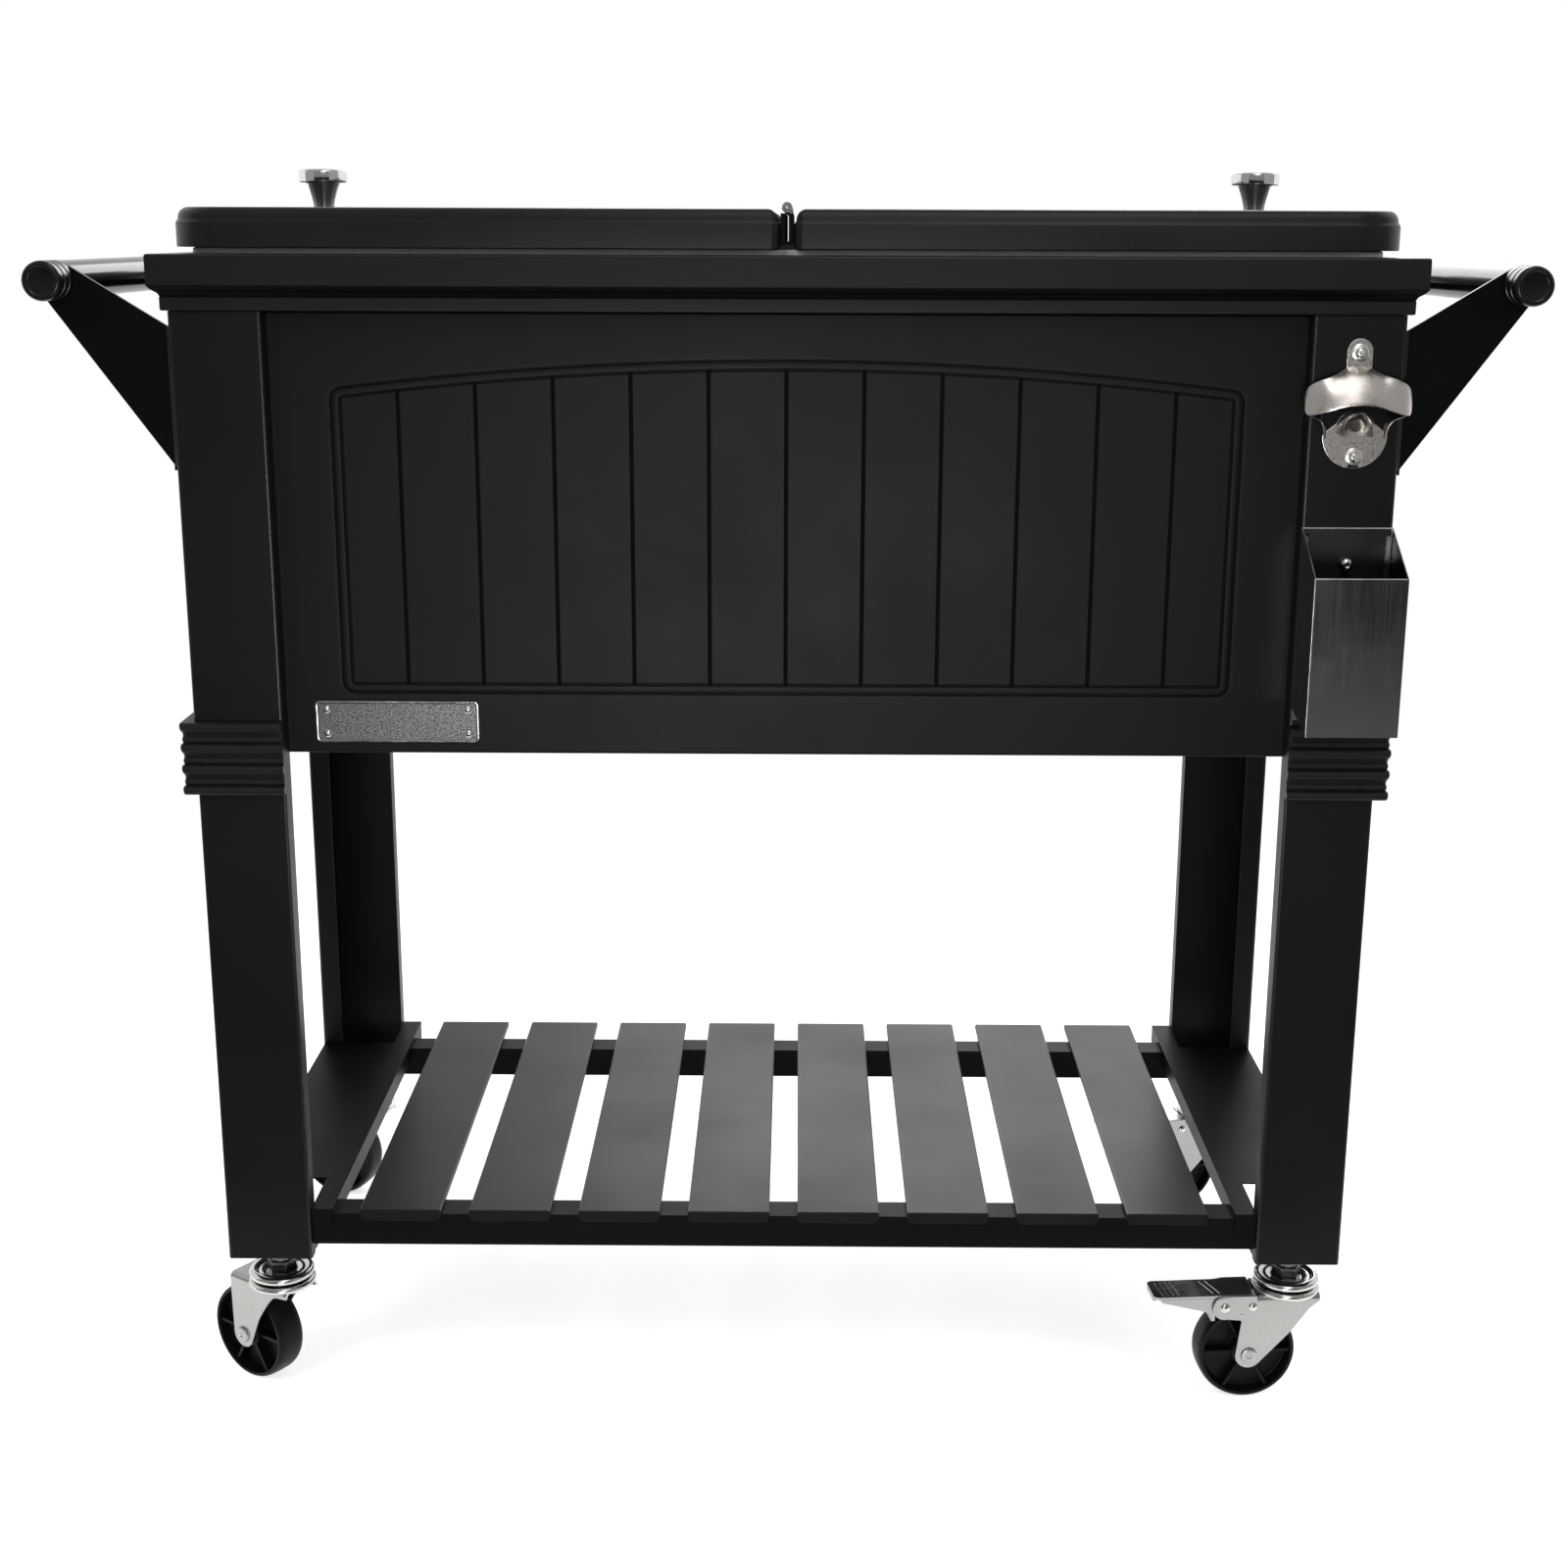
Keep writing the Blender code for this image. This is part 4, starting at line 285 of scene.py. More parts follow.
def shaded(mesh, angle=32):
    mesh.shade_smooth()
    mesh.set_sharp_from_angle(angle=math.radians(angle))
    return mesh


def modified(mesh, *steps):
    """Runs modifiers over a mesh, each a type with its settings, and keeps the mesh they make."""
    holder = bpy.data.objects.new("work", mesh)
    bpy.context.scene.collection.objects.link(holder)
    for kind, settings in steps:
        modifier = holder.modifiers.new(kind.lower(), kind)
        for key, value in settings.items():
            setattr(modifier, key, value)
    bpy.context.view_layer.update()
    graph = bpy.context.evaluated_depsgraph_get()
    made = bpy.data.meshes.new_from_object(holder.evaluated_get(graph))
    bpy.data.objects.remove(holder, do_unlink=True)
    return made


def worked(mesh, *steps, angle=32):
    return shaded(modified(mesh, *steps), angle)


def bevel(width, segments=2, angle=28):
    settings = {"width": width, "segments": segments, "limit_method": "ANGLE", "angle_limit": math.radians(angle)}
    return "BEVEL", {**settings, "use_clamp_overlap": True}


def copy_of(node, weld=0.00025):
    """Copies a CAD node's mesh, welds it and clears the edges inside its flat faces."""
    work = bmesh.new()
    work.from_mesh(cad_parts[node].data)
    bmesh.ops.remove_doubles(work, verts=work.verts, dist=weld)
    bmesh.ops.dissolve_degenerate(work, edges=work.edges, dist=weld / 4)
    limit = math.radians(0.6)
    bmesh.ops.dissolve_limit(work, angle_limit=limit, verts=work.verts, edges=work.edges)
    mesh = bpy.data.meshes.new(node)
    work.to_mesh(mesh)
    work.free()
    return mesh


def piece(name, mesh, finish, body, *nodes):
    """Adds a finished mesh to the scene, lets it ride on its body and stand for its CAD nodes."""
    mesh = modified(mesh, ("WEIGHTED_NORMAL", {"keep_sharp": True}))
    obj = bpy.data.objects.new(name, mesh)
    bpy.context.scene.collection.objects.link(obj)
    mesh.materials.clear()
    mesh.materials.append(finish.material)
    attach(obj, body)
    if nodes:
        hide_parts(*nodes)
    return obj


def retoned(obj, finish, chosen):
    """Gives the chosen faces of a piece a second finish."""
    index = len(obj.data.materials)
    obj.data.materials.append(finish.material)
    for face in obj.data.polygons:
        if chosen(face):
            face.material_index = index


def on_edge(face):
    """Whether a face lies on a rounded or slanting edge, not flat along the axes."""
    return max(abs(part) for part in face.normal) < 0.985


def softened(node, width, finish, body, segments=2, angle=28):
    """Stands a copy of a CAD node with eased edges in its place."""
    return piece(f"{node}_eased", worked(copy_of(node), bevel(width, segments, angle)), finish, body, node)


def joined(*meshes, angle=32):
    """Puts several meshes in one."""
    work = bmesh.new()
    for mesh in meshes:
        work.from_mesh(mesh)
    return collected(work, angle)


def moved(mesh, matrix):
    mesh.transform(matrix)
    if matrix.determinant() < 0:
        mesh.flip_normals()
    return mesh


def lofted(rings, closed=False, caps=True, angle=32):
    """Skins rings of points of the same length; closed joins the last ring to the first."""
    work = bmesh.new()
    rows = [[work.verts.new(point) for point in ring] for ring in rings]
    count = len(rows[0])
    pairs = list(zip(rows, rows[1:]))
    if closed:
        pairs.append((rows[-1], rows[0]))
    for lower, upper in pairs:
        for i in range(count):
            j = (i + 1) % count
            work.faces.new((lower[i], lower[j], upper[j], upper[i]))
    if caps and not closed:
        work.faces.new(rows[0])
        work.faces.new(rows[-1])
    bmesh.ops.recalc_face_normals(work, faces=work.faces)
    return collected(work, angle)


def revolved(profile, steps=64, closed=False, angle=32):
    """Turns a profile of (radius, height) round Z; a radius of zero closes the end in one point."""
    work = bmesh.new()
    rows = []
    for radius, height in profile:
        if radius < 1e-7:
            rows.append([work.verts.new((0, 0, height))])
            continue
        turns = [math.tau * k / steps for k in range(steps)]
        rows.append([work.verts.new((radius * math.cos(a), radius * math.sin(a), height)) for a in turns])
    pairs = list(zip(rows, rows[1:]))
    if closed:
        pairs.append((rows[-1], rows[0]))
    for lower, upper in pairs:
        for i in range(steps):
            j = (i + 1) % steps
            corners = [lower[i % len(lower)], lower[j % len(lower)], upper[j % len(upper)], upper[i % len(upper)]]
            work.faces.new(list(dict.fromkeys(corners)))
    bmesh.ops.recalc_face_normals(work, faces=work.faces)
    return collected(work, angle)


def rounded(corners, steps=6):
    """An outline whose corners (x, y, radius) are turned into arcs."""
    points = []
    count = len(corners)
    for i, (x, y, radius) in enumerate(corners):
        here = Vector((x, y))
        back = (Vector(corners[i - 1][:2]) - here).normalized()
        ahead = (Vector(corners[(i + 1) % count][:2]) - here).normalized()
        if radius <= 0:
            points.append((x, y))
            continue
        half = back.angle(ahead) / 2
        centre = here + (back + ahead).normalized() * (radius / math.sin(half))
        start = here + back * (radius / math.tan(half)) - centre
        end = here + ahead * (radius / math.tan(half)) - centre
        turn = start.angle_signed(end)
        for k in range(steps + 1):
            arm = start.copy()
            arm.rotate(Matrix.Rotation(-turn * k / steps, 2))
            points.append(tuple(centre + arm))
    return points


def rectangle(low_x, high_x, low_y, high_y, radii, steps=8):
    corners = ((low_x, low_y), (high_x, low_y), (high_x, high_y), (low_x, high_y))
    return rounded([(x, y, radius) for (x, y), radius in zip(corners, radii)], steps)


def arc(centre, radius, start, end, steps):
    points = []
    for k in range(steps + 1):
        angle = math.radians(start + (end - start) * k / steps)
        points.append((centre[0] + radius * math.cos(angle), centre[1] + radius * math.sin(angle)))
    return points


TO_XZ = Matrix(((1, 0, 0, 0), (0, 0, 1, 0), (0, 1, 0, 0), (0, 0, 0, 1)))
TO_YZ = Matrix(((0, 0, 1, 0), (1, 0, 0, 0), (0, 1, 0, 0), (0, 0, 0, 1)))
ALONG_Y = Matrix.Rotation(-math.pi / 2, 4, "X")


def slab(outline, low, high, plane=None, width=0.0, segments=2):
    """A flat outline with thickness and eased edges, lying in XY unless a plane turns it."""
    ring = [[(x, y, level) for x, y in outline] for level in (low, high)]
    mesh = lofted(ring)
    if plane is not None:
        moved(mesh, plane)
    if width:
        mesh = worked(mesh, bevel(width, segments, 40))
    return mesh


def eased(value):
    value = min(max(value, 0.0), 1.0)
    return value * value * (3 - 2 * value)


class Copies:
    """A Geometry Nodes tree that repeats one shape in a row or round a ring and gives it its finish."""

    def __init__(self, name, sizes):
        self.tree = bpy.data.node_groups.new(name, "GeometryNodeTree")
        self.tree.interface.new_socket("Shape", in_out="INPUT", socket_type="NodeSocketObject")
        self.keys = {}
        for label, kind in sizes.items():
            socket = self.tree.interface.new_socket(label, in_out="INPUT", socket_type=kind)
            self.keys[label] = socket.identifier
        self.tree.interface.new_socket("Geometry", in_out="OUTPUT", socket_type="NodeSocketGeometry")
        self.inputs = self.tree.nodes.new("NodeGroupInput")

    def node(self, kind, settings=None, values=None):
        made = self.tree.nodes.new(kind)
        for key, value in (settings or {}).items():
            setattr(made, key, value)
        for key, value in (values or {}).items():
            if isinstance(value, bpy.types.NodeSocket):
                self.tree.links.new(value, made.inputs[key])
            else:
                made.inputs[key].default_value = value
        return made

    def finished(self, instances, material):
        real = self.node("GeometryNodeRealizeInstances", values={"Geometry": instances})
        dressed = self.node("GeometryNodeSetMaterial", values={0: real.outputs[0], "Material": material})
        output = self.tree.nodes.new("NodeGroupOutput")
        self.tree.links.new(dressed.outputs[0], output.inputs[0])

    def made(self, shape, sizes):
        """Runs the tree over one shape and returns the plain mesh that it makes."""
        source = bpy.data.objects.new("shape", shape)
        host = bpy.data.objects.new("host", bpy.data.meshes.new("host"))
        for obj in (source, host):
            bpy.context.scene.collection.objects.link(obj)
        modifier = host.modifiers.new("copies", "NODES")
        modifier.node_group = self.tree
        modifier[self.tree.interface.items_tree["Shape"].identifier] = source
        for label, value in sizes.items():
            modifier[self.keys[label]] = value
        bpy.context.view_layer.update()
        graph = bpy.context.evaluated_depsgraph_get()
        mesh = bpy.data.meshes.new_from_object(host.evaluated_get(graph))
        for obj in (source, host):
            bpy.data.objects.remove(obj, do_unlink=True)
        return shaded(mesh)


def row_of(shape, finish, count, step):
    """Repeats a shape along a straight row."""
    copies = Copies("row_of_copies", {"Count": "NodeSocketInt", "Step": "NodeSocketVector"})
    line = copies.node(
        "GeometryNodeMeshLine",
        {"mode": "OFFSET"},
        {"Count": copies.inputs.outputs["Count"], "Offset": copies.inputs.outputs["Step"]},
    )
    source = copies.node("GeometryNodeObjectInfo", values={0: copies.inputs.outputs["Shape"]})
    placed = copies.node(
        "GeometryNodeInstanceOnPoints",
        values={"Points": line.outputs[0], "Instance": source.outputs["Geometry"]},
    )
    copies.finished(placed.outputs[0], finish.material)
    return copies.made(shape, {"Count": count, "Step": step})


def ring_of(shape, finish, count):
    """Repeats a shape round the Y axis."""
    copies = Copies("ring_of_copies", {"Count": "NodeSocketInt", "Turn": "NodeSocketFloat"})
    line = copies.node("GeometryNodeMeshLine", {"mode": "OFFSET"}, {"Count": copies.inputs.outputs["Count"]})
    line.inputs["Offset"].default_value = (0, 0, 0)
    index = copies.node("GeometryNodeInputIndex")
    angle = copies.node(
        "ShaderNodeMath",
        {"operation": "MULTIPLY"},
        {0: index.outputs[0], 1: copies.inputs.outputs["Turn"]},
    )
    turn = copies.node("ShaderNodeCombineXYZ", values={"Y": angle.outputs[0]})
    source = copies.node("GeometryNodeObjectInfo", values={0: copies.inputs.outputs["Shape"]})
    placed = copies.node(
        "GeometryNodeInstanceOnPoints",
        values={"Points": line.outputs[0], "Instance": source.outputs["Geometry"], "Rotation": turn.outputs[0]},
    )
    copies.finished(placed.outputs[0], finish.material)
    return copies.made(shape, {"Count": count, "Turn": math.tau / count})


FIELD_HALF = 0.3075
FIELD_LOW = CABINET_Z + 0.0435
FIELD_ARCH = 2.40
FIELD_CORNER = 0.0078
FIELD_APEX = CROWN_Z - 0.052 + FIELD_ARCH - math.sqrt(FIELD_ARCH**2 - FIELD_HALF**2)
GROOVES = [0.0525 * k for k in range(-5, 6)]
GROOVE_HALF = 0.0013

# How deep the sheet is pressed at each distance inside the field's outline: a groove, a low land, a groove
PRESSED = (
    (-0.0140, 0.0), (-0.0040, 0.0), (-0.0012, 0.0), (-0.0009, 0.0002), (-0.0005, 0.0010), (-0.0002, 0.0018),
    (0.0002, 0.0018), (0.0005, 0.0012), (0.0009, 0.0007), (0.0013, 0.0005), (0.0030, 0.0005),
    (0.0048, 0.0005), (0.0051, 0.0007), (0.0054, 0.0013), (0.0057, 0.0021), (0.0061, 0.0021),
    (0.0064, 0.0015), (0.0068, 0.0010), (0.0072, 0.0008), (FIELD_CORNER, 0.0008),
)


def groove_dip(line):
    """Depth of the groove at a column: a narrow V with a small flat in its root."""
    near = min(abs(line - groove) for groove in GROOVES)
    return 0.0019 * min(1.0, max(0.0, 1.12 * (1 - near / GROOVE_HALF)))


def corner_arc(centre, radius, start, end):
    return arc(centre, radius, start, end, 6)[1:-1]


def field_ring(inset, columns, rows):
    """Outline of the field drawn in by a distance, as (x, z, column), in step with the grid inside it."""
    corner, inner, half = FIELD_CORNER - inset, FIELD_ARCH - FIELD_CORNER, columns[-1]
    centre, low, high = FIELD_APEX - FIELD_ARCH, rows[0], rows[-1]
    lean = math.degrees(math.asin(half / inner))
    points = [(x, low - corner, x) for x in columns]
    points += [(x, z, half) for x, z in corner_arc((half, low), corner, -90, 0)]
    points += [(half + corner, z, half) for z in rows]
    points += [(x, z, half) for x, z in corner_arc((half, high), corner, 0, 90 - lean)]
    for x in reversed(columns):
        turn = math.asin(x / inner)
        points.append(((inner + corner) * math.sin(turn), centre + (inner + corner) * math.cos(turn), x))
    points += [(x, z, half) for x, z in corner_arc((-half, high), corner, 90 + lean, 180)]
    points += [(-half - corner, z, half) for z in reversed(rows)]
    points += [(x, z, half) for x, z in corner_arc((-half, low), corner, 180, 270)]
    return points


def round_corner(first, corner, last):
    """Five points from one straight edge over a square corner to the next."""
    steps = [(a + (b - a) * k / 3, c + (d - c) * k / 3) for k in (1, 2) for a, b, c, d in ((first[0], corner[0], first[1], corner[1]),)]
    tail = [(corner[0] + (last[0] - corner[0]) * k / 3, corner[1] + (last[1] - corner[1]) * k / 3) for k in (1, 2)]
    return steps + [corner] + tail


def border_ring(half, low, high, columns, rows):
    """A square-cornered ring round the panel with a point for each point of a field ring."""
    right, left = columns[-1], columns[0]
    points = [(x, low) for x in columns]
    points += round_corner((right, low), (half, low), (half, rows[0]))
    points += [(half, z) for z in rows]
    points += round_corner((half, rows[-1]), (half, high), (right, high))
    points += [(x, high) for x in reversed(columns)]
    points += round_corner((left, high), (-half, high), (-half, rows[-1]))
    points += [(-half, z) for z in reversed(rows)]
    points += round_corner((-half, rows[0]), (-half, low), (left, low))
    return points


def front_sheet():
    """Pressed front panel: its edges turned in, the arched field stepped in twice, its grooves drawn upright."""
    half, low, high, bend, turned_in = 0.3942, CABINET_Z, CROWN_Z - 0.0003, 0.0022, 0.013
    reach, inner = FIELD_HALF - FIELD_CORNER, FIELD_ARCH - FIELD_CORNER
    dips = [line + GROOVE_HALF * share for line in GROOVES for share in (-1.25, -1, -0.6, -0.15, 0.15, 0.6, 1, 1.25)]
    gaps = [line + 0.0525 * share for line in GROOVES[:-1] for share in (0.25, 0.5, 0.75)]
    ends = [side * value for side in (-1, 1) for value in (0.272, 0.285, 0.295, reach)]
    columns = sorted(dips + gaps + ends)
    foot = FIELD_LOW + FIELD_CORNER
    centre = FIELD_APEX - FIELD_ARCH
    head = centre + math.sqrt(inner**2 - reach**2)
    rows = [foot + (head - foot) * k / 16 for k in range(17)]
    work = bmesh.new()
    face = FRONT_SHEET_Y
    rings = [[work.verts.new((x, face + turned_in, z)) for x, z in border_ring(half, low, high, columns, rows)]]
    for turn in (90, 66, 44, 22, 0):
        back = bend * (1 - math.cos(math.radians(turn)))
        tuck = bend * (1 - math.sin(math.radians(turn)))
        ring = border_ring(half - tuck, low + tuck, high - tuck, columns, rows)
        rings.append([work.verts.new((x, face + back, z)) for x, z in ring])
    for inset, depth in PRESSED:
        ring = []
        for x, z, line in field_ring(inset, columns, rows):
            dip = groove_dip(line) * eased((inset - 0.0054) / 0.0016)
            ring.append(work.verts.new((x, face + depth + dip, z)))
        rings.append(ring)
    for outer, nearer in zip(rings, rings[1:]):
        for k in range(len(outer)):
            m = (k + 1) % len(outer)
            work.faces.new((outer[k], outer[m], nearer[m], nearer[k]))
    grid = []
    for x in columns:
        crest = centre + math.sqrt(inner**2 - x**2)
        depth = face + PRESSED[-1][1] + groove_dip(x)
        grid.append([work.verts.new((x, depth, foot + (crest - foot) * k / 16)) for k in range(17)])
    for left, right in zip(grid, grid[1:]):
        for k in range(16):
            work.faces.new((left[k], right[k], right[k + 1], left[k + 1]))
    bmesh.ops.remove_doubles(work, verts=work.verts, dist=0.00002)
    bmesh.ops.dissolve_degenerate(work, edges=work.edges, dist=0.00001)
    bmesh.ops.recalc_face_normals(work, faces=work.faces)
    if sum(face.normal.y * face.calc_area() for face in work.faces) > 0:
        bmesh.ops.reverse_faces(work, faces=work.faces)
    return worked(collected(work, 60), ("SOLIDIFY", {"thickness": 0.0010, "offset": -1.0}), angle=60)


def make_cabinet():
    piece("front_sheet", front_sheet(), COAT, "cabinet", "front_panel")
    for node in ("back_panel", "left_side_panel", "right_side_panel", "base_pan", "hinge_crossbar"):
        # Painted highlight: the panels' eased edges in the lighter coat
        retoned(softened(node, 0.0005, COAT, "cabinet"), PAINTED_HIGHLIGHT_COAT, on_edge)
    for end_name in ENDS:
        for side_name in SIDES:
            name = f"{end_name}_{side_name}"
            make_leg(f"{name}_leg")
            make_bracket(f"{name}_handle_bracket", SIDES[side_name], ENDS[end_name])
            make_collar(end_name, side_name)
    make_crown()
    make_tub()
    piece("drain_cap_eased", worked(copy_of("drain_cap"), bevel(0.0006)), PLUG, "drain_cap", "drain_cap")
    dress("insulation", FOAM)


def bent(node, near, radius, finish):
    """Stands a copy of a folded CAD node in its place, its bend turned round a full radius."""
    work = bmesh.new()
    work.from_mesh(copy_of(node))
    fold = [edge for edge in work.edges if all(near(vert.co) for vert in edge.verts)]
    bmesh.ops.bevel(work, geom=fold, offset=radius, segments=6, profile=0.5, affect="EDGES")
    obj = piece(f"{node}_bent", worked(collected(work), bevel(0.0004, 2, 40)), finish, "cabinet", node)
    # Painted highlight: the eased edges and the bend in the lighter coat
    retoned(obj, PAINTED_HIGHLIGHT_COAT, on_edge)


def make_bracket(node, side, end):
    """Handle bracket whose flange lies against the leg."""
    low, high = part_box(node)
    face = low[1] if end < 0 else high[1]

    def on_fold(place):
        return abs(place.y - face) < 0.0002 and abs(place.x - side * (HALF_X + 0.0003)) < 0.0002

    # Painted shade: the bracket takes the darker copy of the coat
    bent(node, on_fold, 0.0028, PAINTED_SHADE_COAT)


def make_leg(node):
    """Leg of folded sheet with a rounded outer corner."""

    def on_corner(place):
        return abs(abs(place.x) - HALF_X) < 0.0002 and abs(abs(place.y - SHIFT) - HALF_Y) < 0.0002

    bent(node, on_corner, 0.0018, COAT)


def dress(node, finish):
    """Gives a CAD node that stays its finish."""
    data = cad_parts[node].data
    data.materials.clear()
    data.materials.append(finish.material)


# How far a collar stands out at each share of its ridge's pitch, downwards: bead, quirk, face, underside
RIDGE = (
    (0.00, 0.0044), (0.05, 0.0052), (0.12, 0.0057), (0.20, 0.0057), (0.27, 0.0052), (0.315, 0.0045),
    (0.335, 0.0058), (0.355, 0.0072), (0.39, 0.0079), (0.46, 0.0083), (0.56, 0.0083), (0.66, 0.0078),
    (0.72, 0.0070), (0.78, 0.0059), (0.88, 0.0049),
)


def make_collar(end_name, side_name):
    """Moulded collar: four bulging ridges, with a bead and a quirk over each one but the first."""
    side, end = SIDES[side_name], ENDS[end_name]
    low, height, ridges = CABINET_Z - 0.025, 0.051, 4
    start, stop = 0.335, 0.72
    pitch = height / (ridges - 1 + stop - start)
    levels = []
    for ridge in range(ridges):
        for share, out in RIDGE:
            below = ridge + share
            if start <= below <= ridges - 1 + stop:
                levels.append((low + height - (below - start) * pitch, out))
    face, flank, full = 0.062, 0.057, 0.0083
    rings = []
    for z, out in levels:
        cheek = full - 0.30 * (full - out)
        corners = [
            (face, -0.0003, 0),
            (face, -out + 0.0016, 0),
            (face - 0.0016, -out, 0),
            (-cheek, -out, 0.0022),
            (-cheek, flank - 0.0016, 0),
            (-cheek + 0.0016, flank, 0),
            (-0.0003, flank, 0),
            (-0.0003, -0.0003, 0.002),
        ]
        ring = []
        for inward_x, inward_y in rounded(corners, 5):
            ring.append((side * (HALF_X - inward_x), end * (HALF_Y - inward_y) + SHIFT, z))
        rings.append(ring)
    name = f"{end_name}_{side_name}_collar"
    piece(f"{name}_ridged", lofted(rings, angle=38), COLLAR, "cabinet", name)


def make_crown():
    """Rolled moulding round the top with eased nosings and an ogee between its two fascias."""
    out, lower, wall, inner = 0.010, 0.0035, 0.0015, -0.025
    cove_low, cove_high = CROWN_Z + 0.0092, CROWN_Z + 0.0156
    outside = [(-0.030, CROWN_Z), (lower - 0.0009, CROWN_Z), (lower - 0.0002, CROWN_Z + 0.0004)]
    outside += [(lower, CROWN_Z + 0.0012), (lower, cove_low - 0.0006), (lower - 0.0004, cove_low)]
    outside += [(lower + 0.0002, cove_low + 0.0007)]
    for k in range(1, 10):
        share = k / 10
        wave = share - 0.09 * math.sin(math.tau * share)
        reach = lower + (out - 0.0008 - lower) * wave
        outside.append((reach, cove_low + 0.0007 + (cove_high - cove_low - 0.0007) * share))
    outside += [(out - 0.0006, cove_high), (out - 0.0001, cove_high + 0.0004), (out, cove_high + 0.0011)]
    outside += [(out, DECK_Z - 0.0018), (out - 0.0002, DECK_Z - 0.0009), (out - 0.0006, DECK_Z - 0.0003)]
    outside += [(out - 0.0014, DECK_Z), (inner + 0.0008, DECK_Z), (inner, DECK_Z - 0.0008), (inner, DECK_Z - 0.012)]
    inside = [(inner + wall, DECK_Z - 0.012), (inner + wall, DECK_Z - wall), (out - wall, DECK_Z - wall)]
    inside += [(out - wall, cove_high + wall), (lower - wall, cove_low + wall)]
    inside += [(lower - wall, CROWN_Z + wall), (-0.030, CROWN_Z + wall)]
    rings = []
    for reach, height in outside + inside:
        x, y, cut = HALF_X + reach, HALF_Y + reach, 0.0006
        plan = [(-x + cut, -y), (x - cut, -y), (x, -y + cut), (x, y - cut)]
        plan += [(x - cut, y), (-x + cut, y), (-x, y - cut), (-x, -y + cut)]
        rings.append([(a, b + SHIFT, height) for a, b in plan])
    crown = piece("crown_rolled", lofted(rings, closed=True, angle=38), CROWN_COAT, "cabinet", "crown_moulding")
    # Painted highlight: the deck and its nosing, which face up, in the lighter coat
    retoned(crown, PAINTED_HIGHLIGHT_COAT, lambda face: face.normal.z > 0.5)
    # Painted shade: the ogee between the fascias, which faces down, in the darker coat
    retoned(crown, PAINTED_SHADE_COAT, lambda face: cove_low - 0.0004 < face.center.z < cove_high + 0.0009)


def make_tub():
    """Moulded tub with finer corners than the frame's."""
    depth, wall, cove, draft = 0.310, 0.0025, 0.005, 0.004
    floor = LIP_Z - depth

    def plan(grow, height, extra=0.0):
        share = (LIP_Z - height) / depth
        half_x, half_y = 0.365 - draft * share + grow, 0.156 - draft * share + grow
        outline = rectangle(-half_x, half_x, -half_y, half_y, (0.016 + grow + extra,) * 4, 10)
        return [(x, y + SHIFT, height) for x, y in outline]

    def lip(inset, height):
        half_x, half_y = 0.399 - inset, 0.187 - inset
        outline = rectangle(-half_x, half_x, -half_y, half_y, (0.026 - inset,) * 4, 10)
        return [(x, y + SHIFT, height) for x, y in outline]

    rings = [plan(wall - cove, floor - wall, cove / 2)]
    for k in range(1, 7):
        angle = math.radians(15 * k)
        rings.append(plan(wall - cove * (1 - math.sin(angle)), floor - wall + cove * (1 - math.cos(angle))))
    under = DECK_Z + 0.0003
    rings += [plan(wall, under), lip(0, under), lip(0, LIP_Z - 0.0012), lip(0.0004, LIP_Z - 0.0004)]
    rings += [lip(0.0014, LIP_Z), plan(0.0012, LIP_Z), plan(0.0003, LIP_Z - 0.0004), plan(0, LIP_Z - 0.0013)]
    for k in range(6, 0, -1):
        angle = math.radians(15 * k)
        rings.append(plan(-cove * (1 - math.sin(angle)), floor + cove * (1 - math.cos(angle))))
    rings.append(plan(-cove, floor, cove / 2))
    spout = [(0.007, -0.016), (0.0105, -0.016), (0.011, -0.0155), (0.011, 0.030), (0.0125, 0.0312), (0.0105, 0.0318), (0.007, 0.0312)]
    drain = moved(revolved(spout, 40, closed=True), Matrix.Translation((0.280, SHIFT, 0.503)))
    piece("tub_moulded", joined(lofted(rings), drain), TUB, "cabinet", "inner_tub")


def lid_ring(inset, height, steps=10):
    """A ring round the right-hand lid, drawn in by a distance."""
    hinge, outer = max(0.006 - inset, 0.0008), max(0.035 - inset, 0.001)
    half_y = HALF_Y + 0.010 - 0.0101 - inset
    plan = rectangle(0.0046 + inset, 0.4087 - inset, -half_y, half_y, (hinge, outer, outer, hinge), steps)
    return [(x, y + SHIFT, height) for x, y in plan]


def lid_shell(side):
    """Pressed lid with a rolled foot, a soft step and a full shoulder."""
    wall, step_z, shoulder = 0.0012, LID_Z + 0.0165, 0.0072
    outside = [(0.0004, LID_Z), (0.0, LID_Z + 0.0005), (0.0, step_z - 0.0012)]
    outside += [(0.0003, step_z - 0.0002), (0.0010, step_z + 0.0005), (0.0015, step_z + 0.0014)]
    for k in range(9):
        angle = math.radians(90 * k / 8)
        outside.append((0.0016 + shoulder * (1 - math.cos(angle)), LID_TOP_Z - shoulder * (1 - math.sin(angle))))
    inside = [(wall, LID_Z), (wall, step_z), (0.0016 + wall, step_z + 0.001)]
    for k in range(7):
        angle = math.radians(90 * k / 6)
        turn = shoulder - wall
        inside.append((0.0016 + wall + turn * (1 - math.cos(angle)), LID_TOP_Z - wall - turn * (1 - math.sin(angle))))
    rings = [lid_ring(*pair) for pair in reversed(inside)] + [lid_ring(*pair) for pair in outside]
    mesh = lofted(rings, angle=40)
    return moved(mesh, Matrix.Diagonal((side, 1, 1, 1)))


